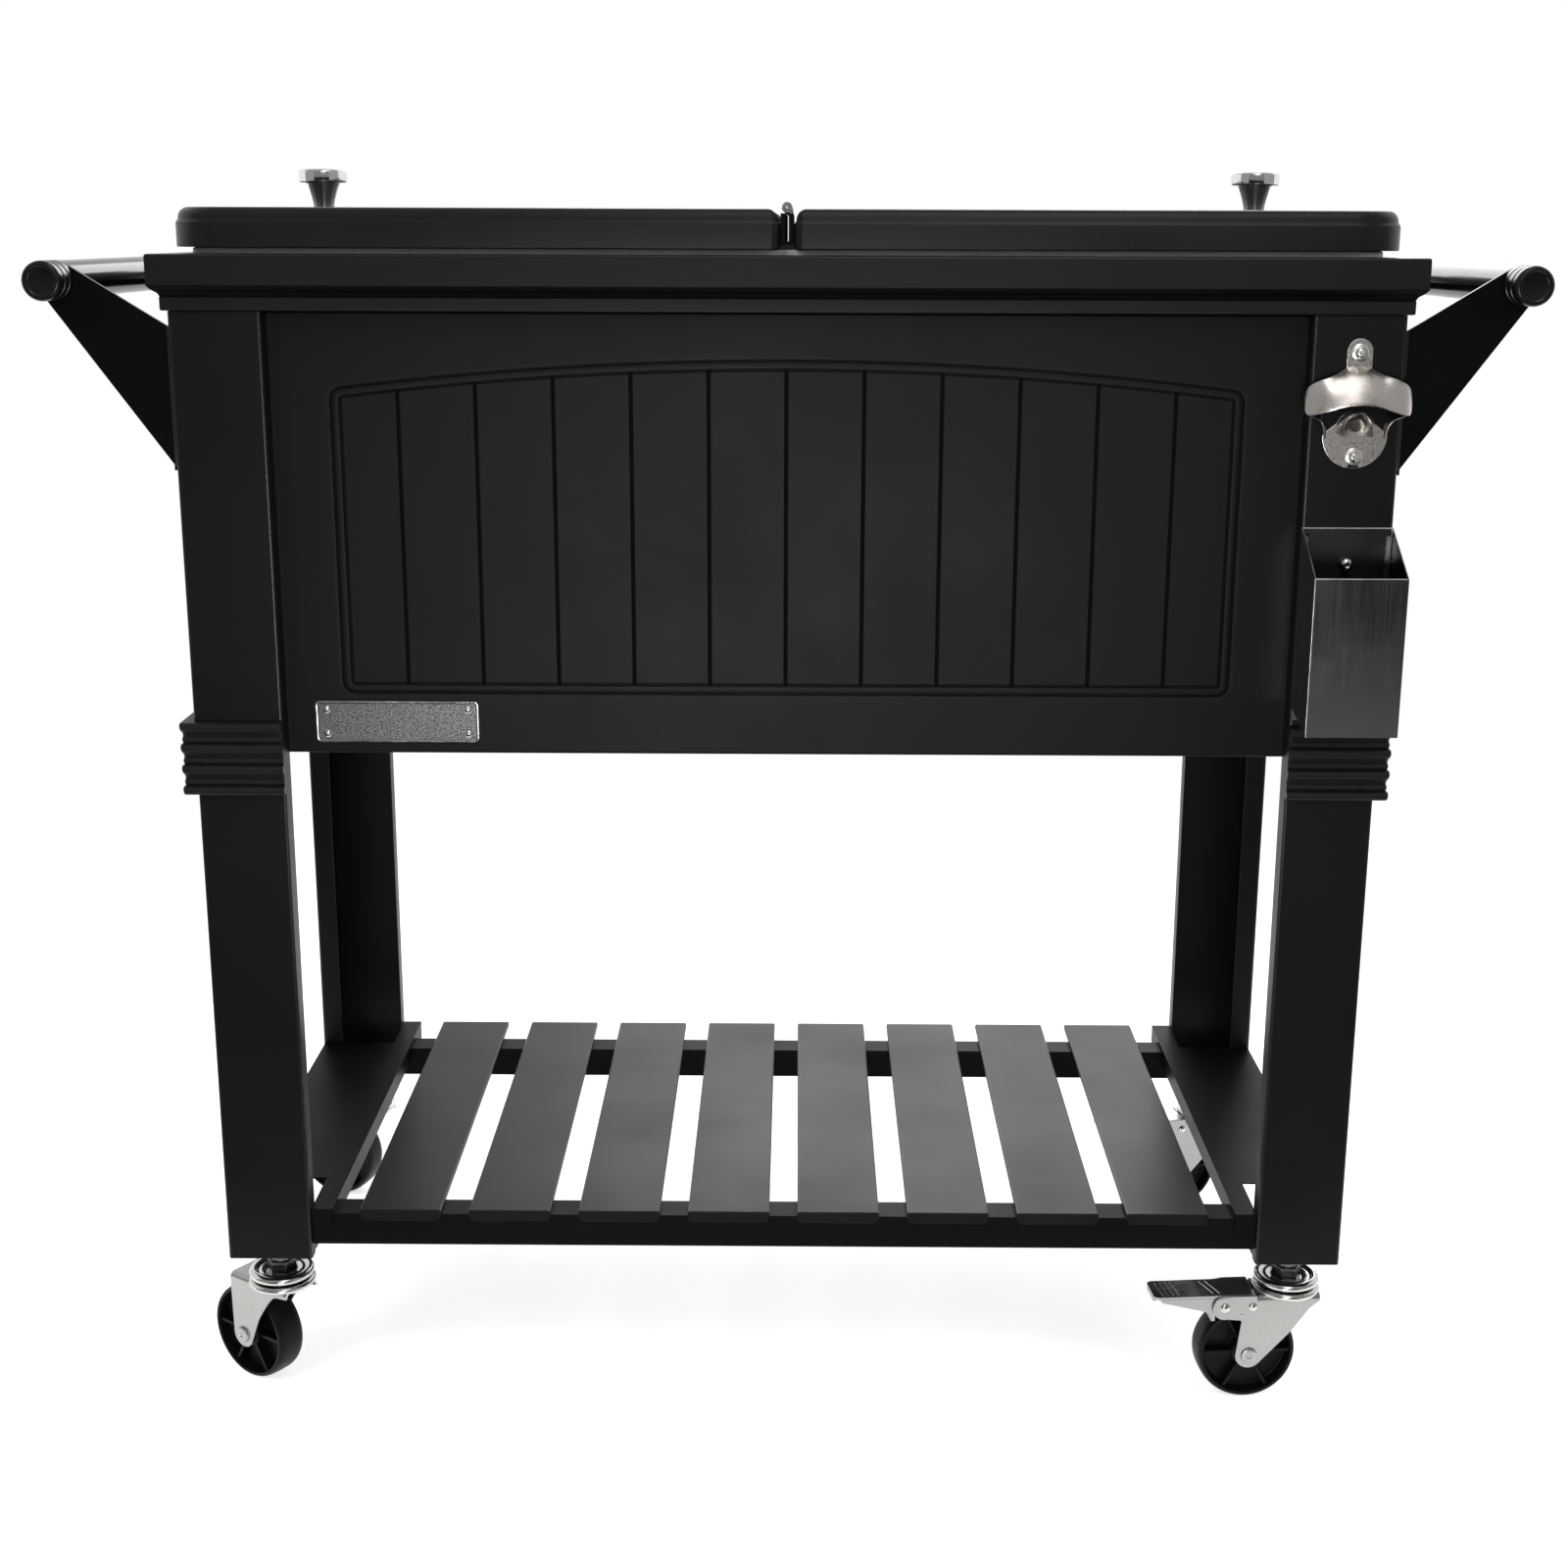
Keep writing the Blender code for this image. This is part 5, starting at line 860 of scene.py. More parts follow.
def knob():
    """Turned knob: a disc cap with eased edges on a waisted neck with a small foot."""
    neck, top, cap = 0.0185, 0.0283, 0.01775
    profile = [(0, top), (cap - 0.0042, top), (cap - 0.0022, top - 0.0002), (cap - 0.0008, top - 0.0007)]
    profile += [(cap - 0.0002, top - 0.0014), (cap, top - 0.0022), (cap, neck + 0.0018)]
    profile += [(cap - 0.0003, neck + 0.0008), (cap - 0.0010, neck + 0.0002), (cap - 0.0018, neck)]
    profile += [(0.0130, neck), (0.0124, neck - 0.0004)]
    for k in range(1, 9):
        share = k / 8
        profile.append((0.0075 + 0.0049 * (1 - share) ** 1.5, (neck - 0.0004) * (1 - share) + 0.0008 * share))
    profile += [(0.0078, 0.0004), (0.0078, 0), (0, 0)]
    return revolved(profile, 72)


def make_lids():
    for side_name, side in SIDES.items():
        body = f"{side_name}_lid"
        piece(f"{side_name}_lid_pressed", lid_shell(side), LID_COAT, body, f"{side_name}_lid_shell")
        softened(f"{side_name}_lid_liner", 0.0008, LINER, body)
        mesh = moved(knob(), Matrix.Translation((side * 0.344, SHIFT, LID_TOP_Z + 0.0003)))
        piece(f"{side_name}_knob_turned", mesh, CHROME, body, f"{side_name}_lid_knob")
        make_hinge_leaf(side_name, side)
    pin = revolved([(0, -0.1904), (0.0012, -0.1904), (0.0015, -0.190), (0.0015, 0.190), (0.0012, 0.1904), (0, 0.1904)], 24)
    place = Matrix.Translation((0, SHIFT, 0.8713)) @ ALONG_Y
    piece("hinge_pin_turned", moved(pin, place), ZINC, "left_lid", "hinge_pin")


def make_hinge_leaf(side_name, side):
    """Half of the long hinge: a leaf down the lid's edge and every other knuckle, repeated along it."""
    length, outer, bore = 0.038, 0.0035, 0.0018
    edge = 0.0003
    profile = [(bore, edge), (outer - 0.0003, edge), (outer, edge + 0.0003)]
    profile += [(outer, length - 0.0006), (outer - 0.0003, length - edge), (bore, length - edge)]
    start = -0.190 + (0 if side < 0 else length)
    place = Matrix.Translation((0, start + SHIFT, 0.8713)) @ ALONG_Y
    barrel = moved(revolved(profile, 28, closed=True), place)
    knuckles = row_of(barrel, LEAF, 5, (0, 2 * length, 0))
    leaf = slab(rectangle(0.0011, 0.0043, -0.190, 0.190, (0.0002,) * 4, 1), 0.8484, 0.8676)
    moved(leaf, Matrix.Translation((0, SHIFT, 0)) @ Matrix.Diagonal((side, 1, 1, 1)))
    name = f"{side_name}_hinge_leaf"
    hinge = piece(f"{name}_rolled", joined(knuckles, leaf), LEAF, f"{side_name}_lid", name)
    # Painted highlight: the knuckles' end faces bright above the leaf's top; painted shade: the end faces below it, the
    # leaf's ends among them, in the darker coat
    retoned(hinge, RACE, lambda face: abs(face.normal.y) > 0.7 and face.center.z > 0.8677)
    retoned(hinge, PAINTED_SHADE_COAT, lambda face: abs(face.normal.y) > 0.7 and face.center.z < 0.8677)


HANDLE_X = 0.4845
HANDLE_Z = CROWN_Z + 0.0192
PLUG_FACE = HALF_Y + 0.022
PLUG_FOOT = HALF_Y - 0.0067
PLUG_RADIUS = 0.0130


def plug():
    """Half section of a plug: a domed face, then three rings with round grooves between them."""
    cap, pitch = PLUG_RADIUS, (PLUG_FACE - PLUG_FOOT) / 3
    profile = [(0, PLUG_FACE - 0.0012), (cap * 0.66, PLUG_FACE - 0.0012), (cap * 0.72, PLUG_FACE - 0.0008)]
    profile += [(cap * 0.77, PLUG_FACE - 0.0001), (cap * 0.84, PLUG_FACE), (cap * 0.92, PLUG_FACE - 0.0005)]
    profile += [(cap * 0.98, PLUG_FACE - 0.0015), (cap, PLUG_FACE - 0.0028)]
    for k in (1, 2):
        behind = PLUG_FACE - pitch * k
        for angle in range(0, 181, 30):
            turn = math.radians(angle)
            profile.append((cap - 0.0017 * math.sin(turn), behind + 0.0015 * math.cos(turn)))
        profile.append((cap - 0.0001, behind - 0.0022))
    return profile + [(cap, PLUG_FOOT + 0.0006), (cap - 0.0006, PLUG_FOOT), (0.006, PLUG_FOOT)]


def make_handles():
    """Gloss tubes with ringed plugs pressed into their ends."""
    inner = HALF_Y - 0.0103
    profile = plug() + [(0.006, inner - 0.001), (0, inner - 0.001)]
    for side_name, side in SIDES.items():
        place = Matrix.Translation((side * HANDLE_X, SHIFT, HANDLE_Z)) @ ALONG_Y
        bar = [(0, -inner), (0.0122, -inner), (0.0127, -inner + 0.0006)]
        bar += [(radius, -height) for radius, height in reversed(bar)]
        tube = moved(revolved(bar, 56), place)
        piece(f"{side_name}_handle_tube", tube, GLOSS, "cabinet", f"{side_name}_handle")
        plugs = []
        for end in (-1, 1):
            plugs.append(moved(revolved(profile, 56), place @ Matrix.Diagonal((1, 1, end, 1))))
        piece(f"{side_name}_handle_plugs", joined(*plugs), PLUG, "cabinet")


def pan_screw(radius, height, washer):
    """Pan-head screw with a socket, on a flat washer; it points along +Z and stands on Z = 0."""
    base = 0.0011
    ring = [(0.0, 0.0), (washer, 0.0), (washer + 0.0002, 0.0003), (washer - 0.0001, 0.0006), (washer * 0.74, base), (0.0, base)]
    head = [(0, base + height * 0.45), (radius * 0.30, base + height * 0.45), (radius * 0.36, base + height * 0.96)]
    head += [(radius * 0.42, base + height), (radius * 0.62, base + height * 0.95), (radius * 0.84, base + height * 0.78)]
    head += [(radius * 0.96, base + height * 0.50), (radius, base + height * 0.22), (radius, base), (0, base)]
    return joined(revolved(ring, 32), revolved(head, 32))


def make_catcher():
    """Folded cup: a painted highlight along its edges, painted shade on its inside faces, with a welded flange in each
    back corner.
    """
    low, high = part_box("cap_catcher")
    middle = [(a + b) / 2 for a, b in zip(low, high)]
    cup = softened("cap_catcher", 0.0003, BRUSHED, "cap_catcher")

    def narrow(face):
        points = [cup.data.vertices[index].co for index in face.vertices]
        longest = max((a - b).length for a, b in zip(points, points[1:] + points[:1]))
        return face.area < 0.0013 * longest

    def inner(face):
        across = (middle[0] - face.center.x) * face.normal.x + (middle[1] - face.center.y) * face.normal.y
        floor = face.normal.z > 0.7 and face.center.z < middle[2]
        return not narrow(face) and (floor or across > 0)

    # Painted highlight: the cup's narrow edge faces in the near-white steel, for the thin lines of light along them
    retoned(cup, STEEL_PAINTED_HIGHLIGHT, narrow)
    # Painted shade: the cup's floor and inward faces in the dark copy of the steel
    retoned(cup, STEEL_PAINTED_SHADE, inner)
    wall, flange = 0.0014, 0.0034
    flanges = []
    for side in (-1, 1):
        start = side * (high[0] - low[0]) / 2 - side * wall
        ends = sorted((middle[0] + start, middle[0] + start - side * flange))
        outline = rectangle(*ends, low[2] + 0.002, high[2] - 0.0045, (0, 0, 0.0022, 0.0022), 4)
        flanges.append(slab(outline, high[1] - wall - 0.0010, high[1] - wall, TO_XZ, 0.0003))
    piece("catcher_flanges", joined(*flanges), DARK_ZINC, "cap_catcher")
    # Painted shade: a dark slab on the cup's back for the shade in the keyhole under the screw
    slot = rectangle(middle[0] - 0.0027, middle[0] + 0.0027, 0.6312, 0.639, (0.0026, 0.0026, 0, 0), 6)
    back = high[1] - wall
    piece("catcher_keyhole", slab(slot, back - 0.0002, back + 0.0002, TO_XZ), PAINTED_SHADE_COAT, "cap_catcher")


def make_front_fittings():
    make_opener()
    make_catcher()
    screw = moved(pan_screw(0.0048, 0.0042, 0.0044), Matrix.Rotation(math.pi / 2, 4, "X"))
    head = Matrix.Translation((0.379, LEG_FRONT_Y - 0.0012, 0.639))
    shank = moved(revolved([(0, 0), (0.002, 0), (0.002, 0.008), (0, 0.008)], 16), ALONG_Y)
    piece("catcher_screw_turned", moved(joined(screw, shank), head), PEDAL, "cabinet", "catcher_screw")
    make_plate()


def make_plate():
    """Bare plate: a bright bead round a darker pebbled ground, and a rivet in each corner."""
    low_x, high_x, low_z, high_z = -0.3283, -0.2137, 0.508, 0.538
    back, front = FRONT_SHEET_Y - 0.0003, FRONT_SHEET_Y - 0.0027
    bead = [(0.0, back), (0.0, front + 0.0007), (0.0003, front + 0.0002), (0.0008, front), (0.0014, front)]
    bead += [(0.0019, front + 0.0002), (0.0023, front + 0.0008), (0.0024, back)]
    rings = []
    for inset, y in bead:
        radius = (max(0.0036 - inset, 0.0006),) * 4
        outline = rectangle(low_x + inset, high_x - inset, low_z + inset, high_z - inset, radius, 6)
        rings.append([(x, y, z) for x, z in outline])
    piece("plate_bead", lofted(rings, closed=True), PEDAL, "cabinet", "front_plate")
    ground = rectangle(low_x + 0.0022, high_x - 0.0022, low_z + 0.0022, high_z - 0.0022, (0.0008,) * 4, 3)
    piece("plate_ground", slab(ground, front + 0.0009, back, TO_XZ), CAST, "cabinet")
    rivet = revolved([(0, 0.0014), (0.0015, 0.0013), (0.0025, 0.0008), (0.0030, 0.0), (0.0030, -0.0004), (0, -0.0004)], 24)
    moved(rivet, Matrix.Rotation(math.pi / 2, 4, "X"))
    moved(rivet, Matrix.Translation((-0.271 - 0.0493, front + 0.0009, 0.523 - 0.0086)))
    upper = rivet.copy()
    upper.transform(Matrix.Translation((0, 0, 0.0172)))
    rivets = [row_of(mesh, PEDAL, 2, (0.0986, 0, 0)) for mesh in (rivet, upper)]
    piece("plate_rivets", joined(*rivets), PEDAL, "cabinet")


OPENER_X = 0.379
OPENER_TOP = CROWN_Z - 0.015
HOOD = (
    (0.00, -0.0190, -0.0430),
    (0.20, -0.0191, -0.0434),
    (0.26, -0.0204, -0.0437),
    (0.40, -0.0234, -0.0448),
    (0.51, -0.0247, -0.0462),
    (0.74, -0.0272, -0.0488),
    (0.88, -0.0296, -0.0501),
    (0.96, -0.0320, -0.0500),
    (1.00, -0.0372, -0.0466),
)


def hood_edges(across):
    """Heights of the hood's crest and brow at a share of its half width."""
    across = min(abs(across), 1.0)
    for (a, crest_a, brow_a), (b, crest_b, brow_b) in zip(HOOD, HOOD[1:]):
        if across <= b:
            share = (across - a) / (b - a)
            return crest_a + (crest_b - crest_a) * share, brow_a + (brow_b - brow_a) * share
    return HOOD[-1][1:]


def sheet(grid, thickness, ease=0.0005):
    """A grid of points made into a sheet with thickness and eased edges."""
    work = bmesh.new()
    rows = [[work.verts.new(point) for point in line] for line in grid]
    for left, right in zip(rows, rows[1:]):
        for j in range(len(left) - 1):
            work.faces.new((left[j], left[j + 1], right[j + 1], right[j]))
    wall = ("SOLIDIFY", {"thickness": thickness, "offset": 0.0, "use_even_offset": True})
    return worked(collected(work), wall, bevel(ease, 2, 50), angle=50)


def opener_hood():
    """Bowed hood: it leans out from the tab to its brow and sweeps back to the leg at its wings."""
    columns, rows, half = 36, 10, 0.0350
    grid = []
    for i in range(columns + 1):
        turn = -1 + 2 * i / columns
        share = math.sin(math.radians(74 * turn)) / math.sin(math.radians(74))
        crest, brow = hood_edges(share)
        bow = math.cos(math.radians(74 * turn))
        root = 0.55 * eased((abs(share) - 0.22) / 0.5)
        line = []
        for j in range(rows + 1):
            down = j / rows
            lean = math.sin(math.radians(90 * down**0.8))
            reach = 0.0172 * bow * (root + (1 - root) * lean)
            line.append((half * share, -0.0013 - reach, crest + (brow - crest) * down))
        grid.append(line)
    return sheet(grid, 0.0021)


def opener_flank(side):
    """Side of the scoop under the hood: it runs from the wing's tip in and back to the disc."""
    outer = ((0.0338, -0.0062, -0.0490), (0.0305, -0.0066, -0.0512), (0.0262, -0.0064, -0.0526))
    outer += ((0.0236, -0.0054, -0.0545), (0.0219, -0.0042, -0.0575), (0.0210, -0.0031, -0.0615), (0.0206, -0.0024, -0.0665))
    inner = ((0.0290, -0.0014, -0.0420), (0.0262, -0.0014, -0.0450), (0.0232, -0.0014, -0.0480))
    inner += ((0.0210, -0.0014, -0.0514), (0.0196, -0.0014, -0.0552), (0.0190, -0.0014, -0.0592), (0.0188, -0.0014, -0.0640))
    grid = []
    for (ax, ay, az), (bx, by, bz) in zip(outer, inner):
        line = []
        for k in range(4):
            share = k / 3
            line.append((side * (ax + (bx - ax) * share), ay + (by - ay) * share, az + (bz - az) * share))
        grid.append(line)
    return sheet(grid, 0.0016, 0.0004)


def make_opener():
    """Wall-type opener: screwed tab, bowed hood, flanks, and a disc whose nose grips the cap."""
    disc_z, tab_z = -0.064, -0.0085
    tab = arc((0, tab_z), 0.0085, 0, 180, 20) + [(-0.0086, -0.0198), (0.0086, -0.0198)]
    disc = arc((0, disc_z), 0.0216, 176, 364, 48) + arc((0, -0.0598), 0.0132, 20, 160, 20)
    plates = [slab(tab, -0.0026, -0.0001, TO_XZ, 0.0005), slab(disc, -0.0026, -0.0001, TO_XZ, 0.0005)]
    bowl = ((0.0129, 0.0004, -0.0598), (0.0124, 0.0018, -0.0597), (0.0115, 0.0028, -0.0594), (0.0104, 0.0033, -0.0589))
    bowl += ((0.0090, 0.0031, -0.0582), (0.0072, 0.0022, -0.0573), (0.0050, 0.0013, -0.0563), (0.0024, 0.0008, -0.0556))
    rings = [[(a, -0.0010, b) for a, b in arc((0, -0.0598), 0.0129, 0, 352, 44)]]
    for radius, lift, z in bowl:
        circle = arc((0, z), radius, 0, 352, 44)
        rings.append([(a, -0.0024 - lift * eased((b + 0.0665) / 0.0130), b) for a, b in circle])
    nose = lofted(rings, angle=60)
    screws = []
    for drop in (0.0095, 0.0777):
        screw = moved(pan_screw(0.0036, 0.0026, 0.0060), Matrix.Rotation(math.pi / 2, 4, "X"))
        screws.append(moved(screw, Matrix.Translation((0, -0.0026, -drop))))
    place = Matrix.Translation((OPENER_X, LEG_FRONT_Y - 0.0003, OPENER_TOP))
    body = moved(joined(*plates, nose, opener_hood(), opener_flank(-1), opener_flank(1)), place)
    opener = piece("opener_formed", body, NICKEL, "cabinet", "bottle_opener")

    def hollow(face):
        across, height = face.center.x - OPENER_X, face.center.z - OPENER_TOP
        back = face.normal.y > 0.2 and height < -0.0195
        back = back or (face.normal.z < -0.25 and face.center.y < LEG_FRONT_Y - 0.006)
        flank = abs(across) > 0.0188 and across * face.normal.x < 0 and height < -0.044
        flank = flank or (across < -0.0190 and height < -0.0500 and face.normal.y > -0.85)
        bowl = math.hypot(across, height + 0.0562) < 0.0068 and height > -0.0600
        return back or flank or bowl

    # Painted shade: the hood's underside, the flanks' inner sides and the nose's bowl in the dark copy of the nickel
    retoned(opener, NICKEL_PAINTED_SHADE, hollow)
    # Painted shade: a dark slab for the shade in the slot under the lower screw
    slot = slab(rectangle(-0.0036, 0.0036, -0.0849, -0.0828, (0.0009,) * 4, 4), -0.0029, -0.0020, TO_XZ)
    piece("opener_slot", moved(slot, place), PAINTED_SHADE_COAT, "cabinet")
    piece("opener_screws", moved(joined(*screws), place), SCREW, "cabinet")


def make_shelf():
    # Painted shade: the shelf frame in the darker copy of the coat
    softened("shelf_frame", 0.0005, FRAME_PAINTED_SHADE_COAT, "cabinet")
    slat = worked(copy_of("shelf_slat_1"), bevel(0.0007, 3, 40))
    slats = row_of(slat, SHELF_COAT, 8, (0.08065, 0, 0))
    nodes = [f"shelf_slat_{k}" for k in range(1, 9)]
    # Painted highlight: the slats' eased edges in the lighter coat
    retoned(piece("shelf_slats", slats, SHELF_COAT, "cabinet", *nodes), PAINTED_HIGHLIGHT_COAT, on_edge)


FORK_DECK = FORK_TOP_Z - 0.0036
SHOULDER = 0.0044
EYE = 0.0103


def fork_plate(braked):
    """Outline of the fork's side, along the trail and up: broad under the shoulder, narrow round the axle."""
    low = FORK_DECK - SHOULDER
    if braked:
        back = [(-0.0224, low, 0), (-0.0221, low - 0.0014, 0.001), (-0.0147, 0.0747, 0.010), (-0.0012, 0.0560, 0.016)]
        lobe = [(x, z, 0) for x, z in arc(PEDAL_PIVOT, 0.0093, -100, 60, 16)]
        tail = [(0.0370, 0.0664, 0.0015)] + lobe + [(0.046, FORK_DECK, 0), (0.0262, FORK_DECK, 0), (0.0252, low, 0)]
    else:
        back = [(-0.0205, low, 0), (-0.0202, low - 0.0010, 0.0006), (-0.0065, 0.0792, 0.010)]
        back += [(0.0013, 0.0700, 0.020), (0.0110, 0.0560, 0.024), (0.0166, 0.0430, 0.020)]
        tail = [(0.0412, low, 0)]
    start, stop = (221, 365) if braked else (200, 365)
    eye = [(x, z, 0) for x, z in arc((TRAIL, WHEEL_RADIUS), EYE, start, stop, 24)]
    return rounded(back + eye + tail, 8)


def rivet_head(radius, height):
    profile = [(0, height), (radius * 0.45, height * 0.94), (radius * 0.8, height * 0.68), (radius * 0.97, height * 0.3)]
    return revolved(profile + [(radius, 0), (radius, -0.0004), (0, -0.0004)], 28)


def make_fork(name):
    """Pressed fork with its lower race, rounded shoulders, side plates, riveted axle and rivet heads."""
    braked = name in BRAKED
    top, outer = FORK_TOP_Z, FORK_HALF + FORK_WALL
    dish = [(0, top), (0.0205, top), (0.0232, top - 0.0002), (0.0245, top - 0.0010), (0.0252, top - 0.0022)]
    dish += [(0.0252, top - 0.0034), (0.0244, top - 0.0048), (0.0228, top - 0.0060), (0.0180, top - 0.0070)]
    parts = [revolved(dish + [(0, top - 0.0070)], 72)]
    for low in (-outer, FORK_HALF):
        parts.append(slab(fork_plate(braked), low, low + FORK_WALL, TO_XZ, 0.0004))
    bend, drop = SHOULDER - 0.0002, SHOULDER + 0.0005
    arch = [(-outer, FORK_DECK - drop, 0), (-outer, FORK_DECK, bend), (outer, FORK_DECK, bend)]
    arch += [(outer, FORK_DECK - drop, 0), (FORK_HALF, FORK_DECK - drop, 0)]
    arch += [(FORK_HALF, FORK_DECK - FORK_WALL, 0.0022), (-FORK_HALF, FORK_DECK - FORK_WALL, 0.0022)]
    arch += [(-FORK_HALF, FORK_DECK - drop, 0)]
    ends = (-0.0222, 0.0250) if braked else (-0.0203, 0.0412)
    parts.append(slab(rounded(arch, 8), *ends, TO_YZ, 0.0003))
    head = outer + 0.0022
    axle = [(0, head - 0.0006), (0.0014, head - 0.0006), (0.0020, head), (0.0048, head - 0.0001)]
    axle += [(0.0058, head - 0.0006), (0.0062, head - 0.0014), (0.0062, outer - 0.0002), (0.0040, outer - 0.0002)]
    axle += [(radius, -height) for radius, height in reversed(axle)]
    parts.append(moved(revolved(axle, 40), Matrix.Translation((TRAIL, 0, WHEEL_RADIUS)) @ ALONG_Y))
    return joined(*parts)


def fork_rivets():
    """Domed rivet heads on both sides of a braked fork."""
    outer = FORK_HALF + FORK_WALL
    parts = []
    for side in (-1, 1):
        turn = Matrix.Rotation(-side * math.pi / 2, 4, "X")
        for along, height, radius in ((*PEDAL_PIVOT, 0.0040), (0.0290, 0.0772, 0.0036), (0.0370, 0.0708, 0.0012)):
            place = Matrix.Translation((along, side * (outer - 0.0002), height)) @ turn
            parts.append(moved(rivet_head(radius, 0.0007 + radius * 0.32), place))
    return joined(*parts)


def caster_mount():
    """Upper race: a bright ring round a dish, all in the race's bright finish."""
    race = FORK_TOP_Z + 0.0003
    dish = [(0, 0), (0.0084, 0), (0.0084, 0.0012), (0.0214, 0.0012), (0.0230, 0.0015), (0.0240, 0.0024)]
    dish += [(0.0245, 0.0037), (0.0243, 0.0050), (0.0235, 0.0062), (0.0222, 0.0070), (0.0208, 0.0073)]
    dish += [(0.0196, 0.0069), (0.0186, 0.0060), (0.0178, 0.0053), (0.0168, 0.0051), (0.0159, 0.0054)]
    dish += [(0.0150, 0.0057), (0.0141, 0.0053), (0.0128, 0.0045), (0.0112, 0.0041), (0, 0.0041)]
    return revolved([(radius, race + height) for radius, height in dish], 72)


def hex_nut():
    """Nut in the dish, with the collar and the stem above it."""
    radius = 0.019 / math.sqrt(3)
    outline = [(radius * math.cos(math.tau * k / 6), radius * math.sin(math.tau * k / 6)) for k in range(6)]
    nut = slab(outline, FORK_TOP_Z + 0.0040, FORK_TOP_Z + 0.0142, None, 0.0006)
    collar = [(0, 0.103), (0.0078, 0.103), (0.0078, FOOT_Z - 0.0003), (0, FOOT_Z - 0.0003)]
    stem = [(0, 0.117), (0.006, 0.117), (0.006, 0.1372), (0.0055, 0.1378), (0, 0.1378)]
    return joined(nut, revolved(collar, 32), revolved(stem, 32))


def wheel():
    """Plastic wheel on the Y axis: crowned tread, dished web, hub and spokes."""
    half, rim = WHEEL_HALF, 0.0325
    flank = [(0.0043, half), (0.0085, half), (0.0102, half - 0.0004), (0.0113, half - 0.0014), (0.0119, 0.0024)]
    flank += [(0.0126, 0.0020), (rim - 0.0016, 0.0020), (rim - 0.0006, 0.0026), (rim + 0.0004, half - 0.0018)]
    flank += [(rim + 0.0010, half - 0.0010), (rim + 0.0022, half - 0.0008), (rim + 0.0034, half - 0.0014)]
    flank += [(rim + 0.0043, half - 0.0032), (rim + 0.0048, half - 0.0056), (rim + 0.0049, half - 0.0085)]
    flank += [(rim + 0.0049, 0.0005), (rim + 0.0050, 0.0003)]
    profile = flank + [(radius, -height) for radius, height in reversed(flank)]
    tyre = moved(revolved(profile, 96, closed=True, angle=30), ALONG_Y)
    plan = rectangle(0.0100, rim + 0.0006, -half + 0.0030, half - 0.0030, (0.0006,) * 4, 3)
    spoke = slab(plan, -0.0013, 0.0013, None, 0.0006)
    return joined(tyre, ring_of(spoke, WHEEL, 6))


def pedal_grips():
    """Fine ribs across the pedal's tip and a slanting pair behind them."""
    rib = slab(rectangle(0.0, 0.0008, -0.0104, 0.0104, (0.0003,) * 4, 3), 0.0, 0.0006, None, 0.0002)
    pair = moved(rib.copy(), Matrix.Translation((0.0560, 0, FORK_DECK - 0.0001)) @ Matrix.Rotation(0.3, 4, "Z"))
    moved(rib, Matrix.Translation((0.0850, 0, FORK_DECK - 0.0001)) @ Matrix.Rotation(0.1, 4, "Z"))
    return joined(row_of(rib, PEDAL, 4, (0.0040, 0, 0)), row_of(pair, PEDAL, 2, (0.0048, 0, 0)))


def make_casters():
    for name, heading in HEADINGS.items():
        end_name, side_name = name.split("_")
        x, y = SIDES[side_name] * CASTER_X, ENDS[end_name] * CASTER_Y + SHIFT
        stand = Matrix.Translation((x, y, 0))
        turn = stand @ Matrix.Rotation(math.radians(heading), 4, "Z")
        piece(f"{name}_race", moved(caster_mount(), stand), RACE, "cabinet", f"{name}_caster_mount")
        piece(f"{name}_nut", moved(hex_nut(), stand), DARK_ZINC, "cabinet")
        fork = piece(f"{name}_fork_pressed", moved(make_fork(name), turn), ZINC, f"{name}_fork", f"{name}_caster_fork")

        def on_ring(face):
            reach = math.hypot(face.center.x - x, face.center.y - y)
            return 0.0200 < reach < 0.0254 and face.center.z > FORK_DECK - 0.0036

        retoned(fork, RACE, on_ring)
        hub = turn @ Matrix.Translation((TRAIL, 0, WHEEL_RADIUS))
        piece(f"{name}_wheel_moulded", moved(wheel(), hub), WHEEL, f"{name}_wheel", f"{name}_wheel")
        if name in BRAKED:
            piece(f"{name}_fork_rivets", moved(fork_rivets(), turn), RACE, f"{name}_fork")
            pedal = softened(f"{name}_brake_pedal", 0.0008, ZINC, f"{name}_pedal", 3)
            # Painted highlight: the pedal's upward slopes in the brighter plate
            retoned(pedal, PEDAL, lambda face: 0.10 < face.normal.z < 0.95 and face.center.z > FORK_DECK - 0.002)
            # Painted shade: the pedal's flat top in the darker copy of the zinc
            retoned(pedal, PEDAL_TOP_PAINTED_SHADE, lambda face: face.normal.z > 0.95 and face.center.z > FORK_DECK - 0.001)
            piece(f"{name}_pedal_grips", moved(pedal_grips(), turn), PEDAL, f"{name}_pedal")


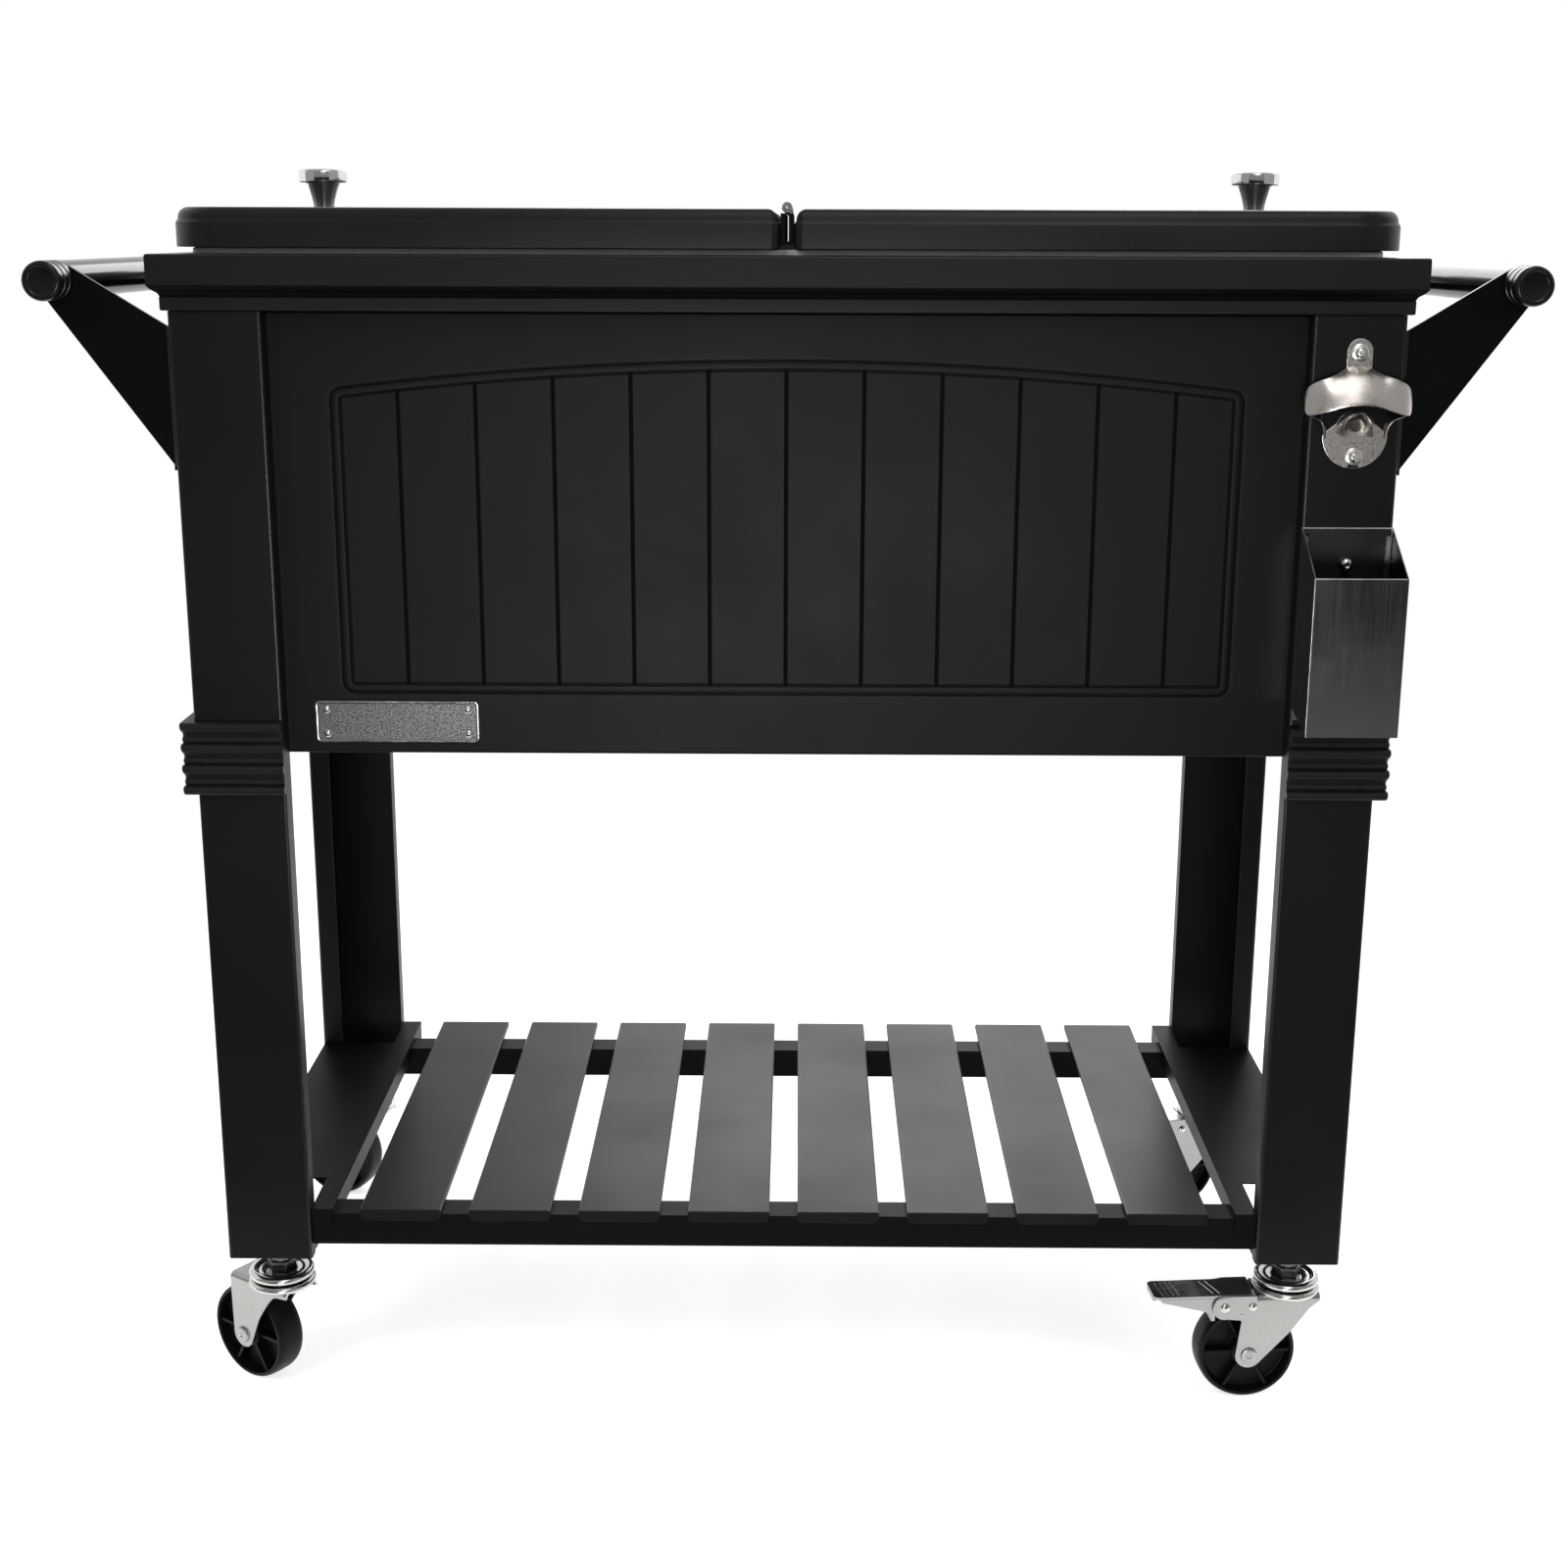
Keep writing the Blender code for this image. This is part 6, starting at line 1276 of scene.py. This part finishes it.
def make_flags():
    """Glowing cards that only shiny surfaces see and that light nothing else: dark ones in front, at the sides, above
    and below, and a bright stripe and post whose reflections are painted highlights.
    """
    cards = (
        ("front", TO_XZ, (-3.4, 3.4, 0.0, 0.85), -2.62, 0.012),
        ("brow", TO_XZ, (-2.0, 2.0, 0.85, 2.6), -2.62, 0.24),
        ("left", TO_YZ, (-2.6, -0.3, 0.0, 2.6), -1.9, 0.34),
        ("right", TO_YZ, (-2.6, 0.0, 0.0, 2.6), 1.9, 0.36),
        ("roof", None, (-1.9, 1.9, -2.62, 2.0), 2.6, 0.38),
        ("stripe", None, (-0.15, 0.86, -2.57, -0.3), 2.55, 2.0),
        ("post", TO_XZ, (-0.15, 0.86, 1.10, 2.55), -2.58, 1.6),
        ("low", None, (-1.9, 1.9, -2.1, -0.42), 0.004, 0.03),
        ("band", TO_XZ, (-1.6, 1.8, 0.01, 0.16), -2.60, 0.07),
        ("near", None, (-1.9, 1.9, -2.6, -2.1), 0.004, 0.33),
    )
    for name, plane, (low_x, high_x, low_y, high_y), place, tone in cards:
        card = Finish(f"studio_card_{name}", "powder_coat", Base_Color=(0.0, 0.0, 0.0, 1.0), Roughness=1.0)
        card.shader.inputs["Specular IOR Level"].default_value = 0.0
        card.shader.inputs["Emission Color"].default_value = (tone, tone, tone, 1.0)
        card.shader.inputs["Emission Strength"].default_value = 1.0
        outline = [(low_x, low_y), (high_x, low_y), (high_x, high_y), (low_x, high_y)]
        obj = bpy.data.objects.new(f"studio_card_{name}", slab(outline, place, place + 0.004, plane))
        bpy.context.scene.collection.objects.link(obj)
        obj.data.materials.append(card.material)
        obj.visible_camera = False
        obj.visible_diffuse = False
        obj.visible_shadow = False
        obj.visible_transmission = False


def make_studio():
    """Pale floor, white surroundings for the camera and for mirror-like metal, and soft lamps."""
    floor = bpy.data.objects.new("studio_floor", slab([(-20, -20), (20, -20), (20, 20), (-20, 20)], -0.02, 0.0))
    bpy.context.scene.collection.objects.link(floor)
    pale = Finish("studio_floor", "powder_coat", Base_Color=(0.90, 0.90, 0.90, 1.0), Roughness=0.9)
    out = pale.node("ShaderNodeVectorMath", {"operation": "LENGTH"}, {0: pale.place()}, output=1)
    path = [pale.node("ShaderNodeLightPath", output=k) for k in (0, 3, 6)]
    seen = (path[0] + path[1] + path[2]).clamped(0.0, 1.0)
    glow = pale.node("ShaderNodeCombineColor", values={0: seen * 0.67, 1: seen * 0.67, 2: seen * 0.67})
    pale.shader.inputs["Emission Strength"].default_value = 1.0
    pale.feed(Alpha=pale.spread(out, 1.0, 0.0, 0.75, 1.9), Emission_Color=glow)
    floor.data.materials.append(pale.material)

    world = bpy.data.worlds.new("studio_air")
    bpy.context.scene.world = world
    world.use_nodes = True
    nodes, links = world.node_tree.nodes, world.node_tree.links
    light = nodes["Background"]
    light.inputs["Color"].default_value = (1.0, 1.0, 1.0, 1.0)
    light.inputs["Strength"].default_value = 0.35
    white = nodes.new("ShaderNodeBackground")
    white.inputs["Color"].default_value = (1.0, 1.0, 1.0, 1.0)
    white.inputs["Strength"].default_value = 1.0
    path = nodes.new("ShaderNodeLightPath")
    seen = nodes.new("ShaderNodeMath")
    seen.operation = "MAXIMUM"
    links.new(path.outputs["Is Camera Ray"], seen.inputs[0])
    links.new(path.outputs["Is Glossy Ray"], seen.inputs[1])
    through = nodes.new("ShaderNodeMath")
    through.operation = "MAXIMUM"
    links.new(seen.outputs[0], through.inputs[0])
    links.new(path.outputs["Is Transmission Ray"], through.inputs[1])
    mix = nodes.new("ShaderNodeMixShader")
    links.new(through.outputs[0], mix.inputs[0])
    links.new(light.outputs[0], mix.inputs[1])
    links.new(white.outputs[0], mix.inputs[2])
    links.new(mix.outputs[0], nodes["World Output"].inputs["Surface"])

    make_flags()
    lamps = (
        ("key", (-1.9, -2.2, 2.5), 1.6, 1.6, 46.0),
        ("fill", (2.3, -1.7, 1.7), 1.4, 1.4, 26.0),
        ("top", (0.0, 0.5, 3.0), 2.2, 2.2, 42.0),
        ("back", (0.4, 2.6, 1.9), 1.8, 1.8, 30.0),
        ("front", (-0.05, -2.45, 0.25), 0.65, 0.45, 12.5),
    )
    for name, place, width, height, power in lamps:
        lamp = bpy.data.lights.new(name, "AREA")
        lamp.shape = "RECTANGLE"
        lamp.size = width
        lamp.size_y = height
        lamp.energy = power
        obj = bpy.data.objects.new(name, lamp)
        obj.location = place
        aim = Vector((0, 0, 0.5)) - Vector(place)
        obj.rotation_euler = aim.to_track_quat("-Z", "Y").to_euler()
        obj.visible_glossy = name not in ("key", "fill", "top")
        bpy.context.scene.collection.objects.link(obj)


def make_camera():
    """Camera at the photograph's place: level with the lids, looking a little down."""
    camera = bpy.data.cameras.new("camera")
    camera.sensor_width = 36.0
    camera.lens = 49.68
    camera.clip_start = 0.05
    camera.clip_end = 100.0
    obj = bpy.data.objects.new("camera", camera)
    place = Matrix.Translation((0.0075, -1.658 + SHIFT, 0.8587))
    yaw = Matrix.Rotation(math.radians(0.32), 4, "Z")
    pitch = Matrix.Rotation(math.radians(90 - 14.43), 4, "X")
    roll = Matrix.Rotation(math.radians(0.20), 4, "Z")
    obj.matrix_world = place @ yaw @ pitch @ roll
    bpy.context.scene.collection.objects.link(obj)
    bpy.context.scene.camera = obj


make_camera()
make_cabinet()
make_lids()
make_handles()
make_front_fittings()
make_shelf()
make_casters()
make_studio()
bpy.context.scene.view_settings.view_transform = "Standard"
